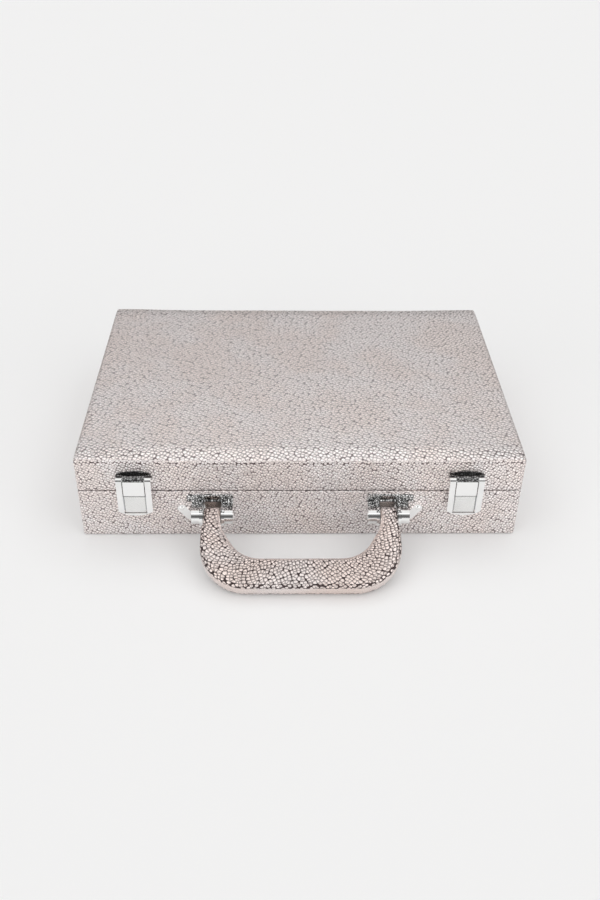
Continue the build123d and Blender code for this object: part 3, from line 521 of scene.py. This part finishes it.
def covering(name, profile):
    """A closed covering from a profile of (inset, z) that runs from inside, out and round."""
    rings = []
    for inset, z in profile:
        radius = UPRIGHT_FOLD - inset
        ring = rounded_ring(HALF_X - inset, HALF_Y - inset, radius, z)
        rings.append(ring)
    points, faces = bridge(rings)
    return mesh_from(name, points, faces)


def settle_lid(mesh):
    """Roll the top's edges down, and let the wall under them follow."""
    low = LID_HIGH.z - WALL_EASE
    for v in mesh.vertices:
        outside = v.co.z > FOAM_LOW + LEATHER / 2 or HALF_X - abs(v.co.x) < LEATHER / 2 \
            or HALF_Y - abs(v.co.y) < LEATHER / 2
        if outside and v.co.z > low:
            v.co.z -= top_drop(v.co) * ease((v.co.z - low) / (WALL_EASE - TOP_FOLD))


def ripple(mesh, size, amount, low, high):
    """Slow waves over the outer faces between two heights."""
    normals = [v.normal.copy() for v in mesh.vertices]
    for v, n in zip(mesh.vertices, normals):
        wall = HALF_X - abs(v.co.x) < LEATHER / 2 or HALF_Y - abs(v.co.y) < LEATHER / 2
        if low < v.co.z < high and (wall or v.co.z > FOAM_LOW + LEATHER):
            v.co += n * waver(v.co, size, amount)


def lid_cover():
    """Leather over foam: turned in at the rim, crisp at the sides, rolled at the long edges."""
    rim, top = LID_LOW.z, LID_HIGH.z
    mouth = LEATHER + LID_WALL
    profile = [(LEATHER, FOAM_LOW), (LEATHER, rim + LEATHER), (mouth, rim + LEATHER),
               (mouth, rim + RIM_FOLD)]
    profile += fold(mouth, rim + RIM_FOLD, mouth - RIM_FOLD, rim, False, 4)
    profile += [(inset, rim) for inset in spread(mouth - RIM_FOLD, RIM_FOLD, 3)]
    profile += fold(RIM_FOLD, rim, 0.0, rim + RIM_FOLD, True, 5)
    profile += [(0.0, z) for z in spread(rim + RIM_FOLD, top - TOP_FOLD - 1.2 * MM, 8)]
    crease = len(profile)
    profile += [(0.02 * MM, top - TOP_FOLD - 0.7 * MM), (0.14 * MM, top - TOP_FOLD - 0.3 * MM),
                (0.0, top - TOP_FOLD + 0.1 * MM)]
    profile += fold(0.0, top - TOP_FOLD + 0.1 * MM, TOP_FOLD, top, False, 7)
    profile += [(inset, top) for inset in spread(TOP_FOLD, ROLL, 14)]
    profile += [(inset, top) for inset in spread(ROLL, TOP_GRID_EDGE, 8)[1:]]
    mesh = covering("lid_cover", profile)
    settle_lid(mesh)
    ripple(mesh, 28 * MM, WAVINESS, rim + 3 * MM, top + 1)
    hide_uv(mesh, top)
    # The three rings of the crease under the roll get the "row" mark, which darkens their pits
    # into a dotted line of painted shade.
    around = len(mesh.vertices) // len(profile)
    row = mesh.attributes.new("row", "FLOAT", "POINT")
    for index in range(crease * around, (crease + 3) * around):
        row.data[index].value = 1.0
    piece = new_piece("lid_cover", mesh, CASE_LEATHER, "lid")
    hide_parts("lid_leather", "lid_foam")
    return piece


def base_cover():
    """Leather round the base, turned in over the walls and drawn tight under the floor."""
    rim, foot = BASE_HIGH.z, BASE_LOW.z
    mouth = LEATHER + BASE_WALL
    profile = [(LEATHER, foot + LEATHER), (LEATHER, rim - LEATHER), (mouth, rim - LEATHER),
               (mouth, rim - RIM_FOLD)]
    profile += fold(mouth, rim - RIM_FOLD, mouth - RIM_FOLD, rim, False, 4)
    profile += [(inset, rim) for inset in spread(mouth - RIM_FOLD, RIM_FOLD, 3)]
    profile += fold(RIM_FOLD, rim, 0.0, rim - RIM_FOLD, True, 5)
    profile += [(0.0, z) for z in spread(rim - RIM_FOLD, foot + FOOT_FOLD, 10)]
    profile += fold(0.0, foot + FOOT_FOLD, FOOT_FOLD, foot, False, 6)
    profile += [(inset, foot) for inset in (FOOT_FOLD, 8 * MM)]
    mesh = covering("base_cover", profile)
    ripple(mesh, 28 * MM, WAVINESS, foot + 3 * MM, rim - 2 * MM)
    hide_uv(mesh, LID_HIGH.z)
    piece = new_piece("base_cover", mesh, CASE_LEATHER, "base")
    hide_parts("base_leather")
    return piece


# The handle's stitched covering

HANDLE_REACH = 50.5 * MM
HANDLE_BAR = 18.8 * MM
HANDLE_THICK = 12.5 * MM
HANDLE_LEG = 12.4 * MM
HANDLE_NECK = 10.2 * MM
HANDLE_SWELL = 3.0 * MM
HANDLE_OUTER_R = 28.0 * MM
HANDLE_INNER_R = 20.0 * MM
NECK_FOOT = -6.1 * MM
LEG_TOP = -11.9 * MM
HANDLE_END = 3.2 * MM
HANDLE_END_R = 3.0 * MM
HANDLE_LEAN = radians(19.48)
INNER_FOLD = 2.2 * MM
UNDER_FOLD = 3.2 * MM
SEAM_BAND_TOP = 3.1 * MM
SEAM_BAND_FOOT = -2.2 * MM
SEAM_PROUD = 0.15 * MM
WELT = 2.1 * MM
TOP_SLOPE = 10.5 * MM
TOP_FALL = 0.6 * MM
CREASE = 0.35 * MM


def handle_place(x, y, z):
    """From the handle's own flat frame to the part's frame at rest."""
    return Vector((
        x,
        PIN_Y + y * cos(HANDLE_LEAN) - z * sin(HANDLE_LEAN),
        PIN_Z + y * sin(HANDLE_LEAN) + z * cos(HANDLE_LEAN)))


def smoothed(points, times):
    """The points drawn towards their neighbours, with both ends kept."""
    for _ in range(times):
        points = [points[0]] + [
            (points[i - 1] + points[i] * 2 + points[i + 1]) / 4
            for i in range(1, len(points) - 1)] + [points[-1]]
    return points


def handle_stations():
    """Pairs of inner and outer points, with half the thickness, along the right half."""
    half = HANDLE_THICK / 2
    leg_inner = LEG_CENTRE - HANDLE_LEG / 2
    leg_outer = LEG_CENTRE + HANDLE_LEG / 2
    out_c = Vector((leg_outer - HANDLE_OUTER_R, HANDLE_OUTER_R - HANDLE_REACH))
    in_c = Vector((leg_inner - HANDLE_SWELL - HANDLE_INNER_R,
                   HANDLE_BAR - HANDLE_REACH + HANDLE_INNER_R))
    leg_end = Vector((leg_inner, LEG_TOP))
    away = leg_end - in_c
    reach = away.length
    first = atan2(away.y, away.x) - (pi / 2 - atan2(HANDLE_INNER_R, sqrt(
        reach**2 - HANDLE_INNER_R**2)))
    touch = in_c + HANDLE_INNER_R * Vector((cos(first), sin(first)))
    rounding = HANDLE_END - HANDLE_END_R
    ends = []
    for turn in spread(pi / 2, 0.0, 8):
        ends.append((rounding + HANDLE_END_R * sin(turn),
                     half - HANDLE_END_R * (1 - cos(turn))))
    ends += [(y, half) for y in spread(rounding, LEG_TOP, 16)[1:]]
    inner = []
    outer = []
    for y, thick in ends:
        wide = (HANDLE_NECK + (HANDLE_LEG - HANDLE_NECK) * ease(
            (NECK_FOOT - y) / (NECK_FOOT - LEG_TOP))) / 2
        inner.append(Vector((LEG_CENTRE - wide, y)))
        outer.append(Vector((LEG_CENTRE + wide, y)))
    halves = [thick for y, thick in ends]
    for t in spread(0.0, 1.0, 10)[1:]:
        inner.append(leg_end.lerp(touch, t))
        outer.append(Vector((leg_outer, LEG_TOP + (out_c.y - LEG_TOP) * t)))
    for t in spread(0.0, 1.0, 30)[1:]:
        a = -pi / 2 * t
        b = first + (-pi / 2 - first) * t
        inner.append(in_c + HANDLE_INNER_R * Vector((cos(b), sin(b))))
        outer.append(out_c + HANDLE_OUTER_R * Vector((cos(a), sin(a))))
    for t in spread(1.0, 0.0, 16)[1:]:
        inner.append(Vector((in_c.x * t, HANDLE_BAR - HANDLE_REACH)))
        outer.append(Vector((out_c.x * t, -HANDLE_REACH)))
    halves += [half] * (len(inner) - len(halves))
    start = len(ends) - 6
    inner = inner[:start] + smoothed(inner[start:], 2)
    return list(zip(inner, outer, halves))


def handle_profile(wide):
    """Closed points of the section, from the inner fold over the top, out and under."""
    half = HANDLE_THICK / 2
    slope = min(TOP_SLOPE, 0.55 * wide)
    fall = TOP_FALL * slope / TOP_SLOPE
    points = []

    def add(depth, height, plain=0.0, row=0.0):
        points.append((depth, height, plain, row))

    for a in spread(0.0, pi / 2, 8):
        fold_share = sin(2 * a) * 0.8
        add(wide - INNER_FOLD + INNER_FOLD * cos(a), half - INNER_FOLD + INNER_FOLD * sin(a),
            fold_share)
    for d in spread(wide - INNER_FOLD, WELT, 12)[1:]:
        add(d, half - fall * max(0.0, 1 - (d - WELT) / slope) ** 2)
    brow = half - fall
    # The crease beside the welt carries the "row" mark, which darkens its pits into a row of
    # painted shade.
    add(WELT - 0.12 * MM, brow - CREASE, 0.2, 0.6)
    for a in spread(pi / 2, 0.0, 8):
        add(WELT - 0.3 * MM - (WELT - 0.45 * MM) * cos(a),
            SEAM_BAND_TOP + 0.2 * MM + (brow - 0.25 * MM - SEAM_BAND_TOP) * sin(a), 0.0, 1.0)
    add(0.22 * MM, SEAM_BAND_TOP + 0.08 * MM, 0.6, 0.4)
    for t in spread(0.0, 1.0, 6):
        height = SEAM_BAND_TOP + (SEAM_BAND_FOOT - SEAM_BAND_TOP) * t
        add(0.05 * MM - SEAM_PROUD * sin(pi * t) ** 0.5, height, 1.0)
    add(0.22 * MM, SEAM_BAND_FOOT - 0.08 * MM, 0.6)
    for a in spread(0.0, pi / 2, 8)[1:]:
        add(UNDER_FOLD - (UNDER_FOLD - 0.15 * MM) * cos(a),
            -half + UNDER_FOLD - UNDER_FOLD * sin(a) + (
                SEAM_BAND_FOOT + half - UNDER_FOLD) * (1 - sin(a)))
    for d in spread(UNDER_FOLD, wide - UNDER_FOLD, 10)[1:]:
        add(d, -half)
    for a in spread(pi / 2, 0.0, 7)[1:]:
        add(wide - UNDER_FOLD + UNDER_FOLD * cos(a), -half + UNDER_FOLD - UNDER_FOLD * sin(a))
    for t in spread(0.0, 1.0, 4)[1:-1]:
        add(wide, -half + UNDER_FOLD + (2 * half - UNDER_FOLD - INNER_FOLD) * t)
    return points


def bell(value, middle, width):
    """A smooth bump about a middle value."""
    return exp(-((value - middle) / width) ** 2)


def handle_cover():
    """The padded handle: pebbled above and below, with a turned and stitched edge outside."""
    right = handle_stations()
    stations = [(Vector((-i.x, i.y)), Vector((-o.x, o.y)), h) for i, o, h in right]
    stations += [(i, o, h) for i, o, h in reversed(right[:-1])]
    rings = []
    marks = []
    lengths = [0.0]
    for k in range(1, len(stations)):
        before = (stations[k - 1][0] + stations[k - 1][1]) / 2
        here = (stations[k][0] + stations[k][1]) / 2
        lengths.append(lengths[-1] + (here - before).length)
    total = lengths[-1]
    for (inner, outer, half), run in zip(stations, lengths):
        inwards = (inner - outer).normalized()
        full = half / (HANDLE_THICK / 2)
        to_end = min(run, total - run)
        end_face = ease((0.8 - full) / 0.2)
        pinch = 1 - 0.02 * bell(to_end, 13 * MM, 3 * MM)
        ring = []
        girth = 0.0
        last = None
        for depth, height, plain, row in handle_profile((inner - outer).length):
            at = outer + inwards * depth
            p = handle_place(at.x, at.y, height * full * pinch)
            if last is not None:
                girth += (p - last).length
            last = p
            ring.append(p)
            marks.append((max(plain, end_face), row * (1 - end_face), run, girth))
        rings.append(ring)
    points, faces = bridge(rings)
    mesh = mesh_from("handle_cover", points, faces)
    for label, index in (("plain", 0), ("row", 1)):
        layer = mesh.attributes.new(label, "FLOAT", "POINT")
        layer.data.foreach_set("value", [m[index] for m in marks])
    uv = mesh.uv_layers.new(name="hide")
    count = len(rings[0])
    for face in mesh.polygons:
        seam = any(mesh.loops[i].vertex_index % count == 0 for i in face.loop_indices) and any(
            mesh.loops[i].vertex_index % count == count - 1 for i in face.loop_indices)
        for i in face.loop_indices:
            v = mesh.loops[i].vertex_index
            run, girth = marks[v][2], marks[v][3]
            if seam and v % count == 0:
                girth = marks[v + count - 1][3] + 0.4 * MM
            uv.data[i].uv = (run, girth)
    piece = new_piece("handle_cover", mesh, HANDLE_LEATHER, "handle")
    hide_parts("handle_leather", "handle_padding")
    return piece


# Linings

def lining_ring(name, outer_x, outer_y, thick, low, high, soften, body, nodes):
    """A padded strip that runs round inside the walls."""
    inner = thick
    profile = [(0.0, low), (0.0, high - soften)]
    profile += fold(0.0, high - soften, soften, high, False, 4)
    profile += [(soften, high), (inner - soften, high)]
    profile += fold(inner - soften, high, inner, high - soften, True, 4)
    for z in spread(high - soften, low, 6):
        swell = 0.25 * MM * sin(pi * (z - low) / (high - low))
        profile.append((inner + swell, z))
    rings = [rounded_ring(outer_x - i, outer_y - i, 1.2 * MM, z, 60, 44, 4) for i, z in profile]
    points, faces = bridge(rings, closed=True)
    mesh = mesh_from(name, points, faces)
    piece = new_piece(name, mesh, LINING, body)
    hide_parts(*nodes)
    return piece


def linings():
    """The collar round the base and the lining round the lid."""
    for body, name in (("base", "collar_lining"), ("lid", "lid_wall_lining")):
        nodes = [f"{body}_lining_{side}" for side in ("front", "back", "left", "right")]
        low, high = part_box(nodes[0])
        side_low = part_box(nodes[2])[0]
        soften = 0.7 * MM if body == "base" else 0.3 * MM
        lining_ring(name, -side_low.x, -low.y, high.y - low.y, low.z, high.z, soften, body, nodes)


SEWN_WIDTH = 2.2 * MM
PIPING_WIDTH = 1.3 * MM


def lid_pad():
    """The soft panel under the lid's top, sewn down in diamonds round a plain border."""
    low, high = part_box("lid_lining_pad")
    across, deep = 220, 156
    points = []
    border = 14 * MM
    pitch = 24 * MM
    for j in range(deep + 1):
        for i in range(across + 1):
            x = low.x + (high.x - low.x) * i / across
            y = low.y + (high.y - low.y) * j / deep
            edge = min(x - low.x, high.x - x, y - low.y, high.y - y)
            round_edge = 1 - sqrt(max(0.0, 1 - max(0.0, 1 - edge / (2.2 * MM)) ** 2))
            lines = min(abs(((x + y) / pitch + 0.5) % 1 - 0.5),
                        abs(((x - y) / pitch + 0.5) % 1 - 0.5))
            sewn = exp(-(lines * pitch / SEWN_WIDTH) ** 2) if edge > border else 0.0
            piping = exp(-((edge - border) / PIPING_WIDTH) ** 2)
            depth = (high.z - low.z) * (1 - round_edge) - 1.1 * MM * max(sewn, piping)
            depth = max(depth, 0.25 * MM)
            points.append((x, y, high.z - depth))
    row = across + 1
    faces = [(j * row + i, j * row + i + 1, (j + 1) * row + i + 1, (j + 1) * row + i)
             for j in range(deep) for i in range(across)]
    rim = [i for i in range(row)]
    rim += [j * row + across for j in range(1, deep + 1)]
    rim += [deep * row + i for i in range(across - 1, -1, -1)]
    rim += [j * row for j in range(deep - 1, 0, -1)]
    start = len(points)
    points += [(points[k][0], points[k][1], high.z) for k in rim]
    count = len(rim)
    for k in range(count):
        n = (k + 1) % count
        faces.append((rim[k], rim[n], start + n, start + k))
    faces.append(tuple(range(start, start + count)))
    mesh = mesh_from("lid_quilt", points, faces)
    piece = new_piece("lid_quilt", mesh, LINING, "lid")
    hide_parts("lid_lining_pad")
    return piece


# Small details

BARREL_RADIUS = 5.0 * MM
PIN_HEAD = 0.5 * MM
BACKPLATE_RISE = 4.9 * MM
BACKPLATE_FOOT = 4.4 * MM
BACKPLATE_THICK = 0.5 * MM
BACKPLATE_BEYOND = 3.2 * MM
BACKPLATE_CORNER = 1.4 * MM
BACKPLATE_EDGE = 0.15 * MM


def bracket_backplates():
    """The thin plate that stands up behind each handle bracket, wider on the ear's side.
    Its whole face is painted with dark speckle as the leather's reflection and shade.
    """
    for name, side in (("left", -1), ("right", 1)):
        pin_low, pin_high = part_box(f"{name}_handle_pin")
        half = (pin_high.x - pin_low.x) / 2 - PIN_HEAD
        centre = (pin_low.x + pin_high.x) / 2
        low, high = sorted((centre - side * half, centre + side * (half + BACKPLATE_BEYOND)))
        foot = PIN_Z + BACKPLATE_FOOT
        top = PIN_Z + BARREL_RADIUS + BACKPLATE_RISE
        outline = [(low, foot), (high, foot)]
        for x, start in ((high - BACKPLATE_CORNER, 0.0), (low + BACKPLATE_CORNER, pi / 2)):
            for a in spread(start, start + pi / 2, 6):
                outline.append((x + BACKPLATE_CORNER * cos(a),
                                top - BACKPLATE_CORNER + BACKPLATE_CORNER * sin(a)))
        middle_x, middle_z = (low + high) / 2, (foot + top) / 2
        wide, tall = (high - low) / 2, (top - foot) / 2
        rings = []
        for y, inset in ((-HALF_Y + 0.1 * MM, 0.0),
                         (-HALF_Y - BACKPLATE_THICK + BACKPLATE_EDGE, 0.0),
                         (-HALF_Y - BACKPLATE_THICK, BACKPLATE_EDGE)):
            rings.append([Vector((middle_x + (x - middle_x) * (1 - inset / wide), y,
                                  middle_z + (z - middle_z) * (1 - inset / tall)))
                          for x, z in outline])
        points, faces = bridge(rings)
        mesh = mesh_from(f"{name}_bracket_backplate", points, faces)
        new_piece(f"{name}_bracket_backplate", mesh, PLATE_REFLECTION_SPECKLE, "base")


def disc(points, faces, centre, radius, rise, axis, steps=16, rings=3):
    """Add a shallow dome to a mesh's lists. Its rim lies on the surface that it sits on."""
    up = Vector(axis)
    side = up.orthogonal().normalized()
    other = up.cross(side)
    start = len(points)
    points.append(Vector(centre) + up * rise)
    for r in range(1, rings + 1):
        share = r / rings
        for i in range(steps):
            a = 2 * pi * i / steps
            flat = (side * cos(a) + other * sin(a)) * radius * share
            points.append(Vector(centre) + flat + up * rise * (1 - share**2))
    for i in range(steps):
        faces.append((start, start + 1 + i, start + 1 + (i + 1) % steps))
    for r in range(rings - 1):
        a = start + 1 + r * steps
        b = a + steps
        for i in range(steps):
            j = (i + 1) % steps
            faces.append((a + i, b + i, b + j, a + j))
    last = start + 1 + (rings - 1) * steps
    faces.append(tuple(last + i for i in range(steps))[::-1])


PIP_PLACES = {
    0: (), 1: ((0, 0),), 2: ((-1, 1), (1, -1)), 3: ((-1, 1), (0, 0), (1, -1)),
    4: ((-1, 1), (1, 1), (-1, -1), (1, -1)),
    5: ((-1, 1), (1, 1), (0, 0), (-1, -1), (1, -1)),
    6: ((-1, 1), (0, 1), (1, 1), (-1, -1), (0, -1), (1, -1)),
}
PIP_RADIUS = 1.9 * MM
PIP_SPACING = 7.0 * MM
PIP_SINK = 0.02 * MM
SPINNER_RADIUS = 1.6 * MM
TILES_IN_ROW = 7


def domino_faces():
    """Pips and a centre pin on every tile of the two upper rows, from a full double-six set."""
    pairs = [(a, b) for a in range(7) for b in range(a, 7)]
    order = [pairs[(k * 11 + 3) % len(pairs)] for k in range(len(pairs))]
    for r, name in enumerate(("front", "back")):
        low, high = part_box(f"domino_tiles_{name}_upper")
        pitch = (high.x - low.x) / TILES_IN_ROW
        pips, pip_faces, pins, pin_faces = [], [], [], []
        for k in range(TILES_IN_ROW):
            x = low.x + pitch * (k + 0.5)
            y = (low.y + high.y) / 2
            quarter = (high.y - low.y) / 4
            for half, value in zip((1, -1), order[r * TILES_IN_ROW + k]):
                for px, py in PIP_PLACES[value]:
                    centre = (x + px * PIP_SPACING, y + half * quarter + py * PIP_SPACING,
                              high.z - PIP_SINK)
                    disc(pips, pip_faces, centre, PIP_RADIUS, 0.12 * MM, (0, 0, 1))
            disc(pins, pin_faces, (x, y, high.z - 0.62 * MM), SPINNER_RADIUS, 0.75 * MM, (0, 0, 1))
        mesh = mesh_from(f"domino_pips_{name}", pips, pip_faces)
        new_piece(f"domino_pips_{name}", mesh, PIP_PAINT, "base")
        mesh = mesh_from(f"domino_pins_{name}", pins, pin_faces)
        new_piece(f"domino_pins_{name}", mesh, BRASS, "base")


# Camera, light and floor

CAMERA_PLACE = Vector((-12.43, -546.24, 388.09)) * MM
CAMERA_PITCH = radians(35.640)
CAMERA_YAW = radians(1.496)
CAMERA_ROLL = radians(0.875)
FOCAL_PIXELS = 957.95
LONG_SIDE_PIXELS = 900
SENSOR = 36.0
BACKGROUND = 0.888
FLOOR_PALE = 0.93
FLOOR_EVEN = 0.12


def camera():
    """The photograph's viewpoint, worked out from the case's corners."""
    data = bpy.data.cameras.new("camera")
    data.sensor_width = SENSOR
    data.lens = SENSOR * FOCAL_PIXELS / LONG_SIDE_PIXELS
    data.clip_start = 0.01
    data.clip_end = 50
    eye = bpy.data.objects.new("camera", data)
    bpy.context.scene.collection.objects.link(eye)
    forward = Vector((sin(CAMERA_YAW) * cos(CAMERA_PITCH), cos(CAMERA_YAW) * cos(CAMERA_PITCH),
                      -sin(CAMERA_PITCH)))
    level = Vector((cos(CAMERA_YAW), -sin(CAMERA_YAW), 0))
    upright = level.cross(forward)
    right = level * cos(CAMERA_ROLL) + upright * sin(CAMERA_ROLL)
    up = upright * cos(CAMERA_ROLL) - level * sin(CAMERA_ROLL)
    eye.matrix_world = Matrix((
        (right.x, up.x, -forward.x, CAMERA_PLACE.x),
        (right.y, up.y, -forward.y, CAMERA_PLACE.y),
        (right.z, up.z, -forward.z, CAMERA_PLACE.z),
        (0, 0, 0, 1)))
    bpy.context.scene.camera = eye


def ramp(tree, value, stops):
    """A number that follows straight runs between (place, level) stops."""
    level = None
    for (low, level_low), (high, level_high) in zip(stops, stops[1:]):
        step = tree.nodes.new("ShaderNodeMapRange")
        step.inputs["From Min"].default_value = low
        step.inputs["From Max"].default_value = high
        step.inputs["To Min"].default_value = 0.0 if level else level_low
        step.inputs["To Max"].default_value = level_high - (level_low if level else 0.0)
        tree.links.new(value, step.inputs["Value"])
        if level:
            total = tree.nodes.new("ShaderNodeMath")
            tree.links.new(level, total.inputs[0])
            tree.links.new(step.outputs["Result"], total.inputs[1])
            level = total.outputs[0]
        else:
            level = step.outputs["Result"]
    return level


# The studio's levels, as (height of the direction from 0 to 1, level)
BEHIND = ((0.0, 0.12), (0.66, 0.12), (0.77, 1.05), (0.88, 1.0), (0.95, 0.45), (1.0, 0.45))
IN_FRONT = ((0.0, 2.6), (0.18, 2.3), (0.34, 1.2), (0.85, 1.0), (0.95, 0.45), (1.0, 0.45))
FRONT_ENDS = -0.45
BACK_STARTS = 0.05
DARK_TOP = 0.84
DARK_TOP_FADE = 0.05
DARK_HALF_WIDTH = 0.30
DARK_SIDE_FADE = 0.12
DARK_LEVEL = 0.10


def world():
    """A studio: bright low in front and high behind, with a dark patch above the camera's side."""
    made = bpy.data.worlds.new("studio")
    bpy.context.scene.world = made
    made.use_nodes = True
    tree = made.node_tree
    tree.nodes.clear()

    def node(kind, operation, *inputs):
        step = tree.nodes.new("ShaderNode" + kind)
        if operation:
            step.operation = operation
        for place, value in enumerate(inputs):
            if isinstance(value, bpy.types.NodeSocket):
                tree.links.new(value, step.inputs[place])
            elif value is not None:
                step.inputs[place].default_value = value
        return step.outputs[0]

    out = tree.nodes.new("ShaderNodeOutputWorld")
    place = tree.nodes.new("ShaderNodeTexCoord")
    parts = tree.nodes.new("ShaderNodeSeparateXYZ")
    tree.links.new(place.outputs["Generated"], parts.inputs[0])
    side, depth, height = parts.outputs
    back = ramp(tree, height, BEHIND)
    front = ramp(tree, height, IN_FRONT)
    away = node("MapRange", None, depth, FRONT_ENDS, BACK_STARTS)
    near = node("Math", "SUBTRACT", 1.0, away)
    level = node("Math", "ADD", node("Math", "MULTIPLY", front, near),
                 node("Math", "MULTIPLY", back, away))
    low = node("MapRange", None, height, DARK_TOP - DARK_TOP_FADE, DARK_TOP + DARK_TOP_FADE,
               1.0, 0.0)
    narrow = node("MapRange", None, node("Math", "ABSOLUTE", side),
                  DARK_HALF_WIDTH - DARK_SIDE_FADE, DARK_HALF_WIDTH + DARK_SIDE_FADE, 1.0, 0.0)
    patch = node("Math", "MULTIPLY", low, node("Math", "MULTIPLY", narrow, near))
    dimmed = node("Math", "MULTIPLY", level, node(
        "Math", "SUBTRACT", 1.0, node("Math", "MULTIPLY", patch, 1 - DARK_LEVEL)))
    lit = tree.nodes.new("ShaderNodeBackground")
    lit.inputs["Color"].default_value = (1.0, 0.995, 0.99, 1)
    tree.links.new(dimmed, lit.inputs["Strength"])
    seen = tree.nodes.new("ShaderNodeBackground")
    seen.inputs["Color"].default_value = (BACKGROUND, BACKGROUND, BACKGROUND, 1)
    rays = tree.nodes.new("ShaderNodeLightPath")
    choose = tree.nodes.new("ShaderNodeMixShader")
    tree.links.new(rays.outputs["Is Camera Ray"], choose.inputs[0])
    tree.links.new(lit.outputs[0], choose.inputs[1])
    tree.links.new(seen.outputs[0], choose.inputs[2])
    tree.links.new(choose.outputs[0], out.inputs[0])


def sun(name, strength, spread_angle, azimuth, elevation):
    """A soft lamp far away, so that it lights the whole floor evenly."""
    data = bpy.data.lights.new(name, "SUN")
    data.energy = strength
    data.angle = radians(spread_angle)
    lamp = bpy.data.objects.new(name, data)
    bpy.context.scene.collection.objects.link(lamp)
    a, e = radians(azimuth), radians(elevation)
    source = Vector((sin(a) * cos(e), -cos(a) * cos(e), sin(e)))
    lamp.rotation_mode = "QUATERNION"
    lamp.rotation_quaternion = source.to_track_quat("Z", "Y")


def floor():
    """A pale floor that keeps the object's soft shadow."""
    half = 6.0
    mesh = bpy.data.meshes.new("floor")
    mesh.from_pydata([(-half, -half, 0), (half, -half, 0), (half, half, 0), (-half, half, 0)],
                     [], [(0, 1, 2, 3)])
    piece = bpy.data.objects.new("floor", mesh)
    bpy.context.scene.collection.objects.link(piece)
    made = bpy.data.materials.new("floor")
    made.use_nodes = True
    tree = made.node_tree
    tree.nodes.clear()
    out = tree.nodes.new("ShaderNodeOutputMaterial")
    lit = tree.nodes.new("ShaderNodeBsdfDiffuse")
    lit.inputs["Color"].default_value = (FLOOR_PALE, FLOOR_PALE, FLOOR_PALE, 1)
    even = tree.nodes.new("ShaderNodeEmission")
    even.inputs["Color"].default_value = (BACKGROUND, BACKGROUND, BACKGROUND, 1)
    rays = tree.nodes.new("ShaderNodeLightPath")
    share = tree.nodes.new("ShaderNodeMath")
    share.operation = "MULTIPLY"
    share.inputs[1].default_value = FLOOR_EVEN
    direct = tree.nodes.new("ShaderNodeMath")
    direct.operation = "MAXIMUM"
    tree.links.new(rays.outputs["Is Camera Ray"], direct.inputs[0])
    tree.links.new(rays.outputs["Is Glossy Ray"], direct.inputs[1])
    tree.links.new(direct.outputs[0], share.inputs[0])
    mix = tree.nodes.new("ShaderNodeMixShader")
    tree.links.new(share.outputs[0], mix.inputs[0])
    tree.links.new(lit.outputs[0], mix.inputs[1])
    tree.links.new(even.outputs[0], mix.inputs[2])
    tree.links.new(mix.outputs[0], out.inputs[0])
    piece.data.materials.append(made)


dress_cad_nodes()
lid_cover()
base_cover()
handle_cover()
linings()
lid_pad()
domino_faces()
bracket_backplates()
camera()
world()
sun("key", 1.05, 120, 165, 78)
floor()
bpy.context.scene.view_settings.view_transform = "Standard"
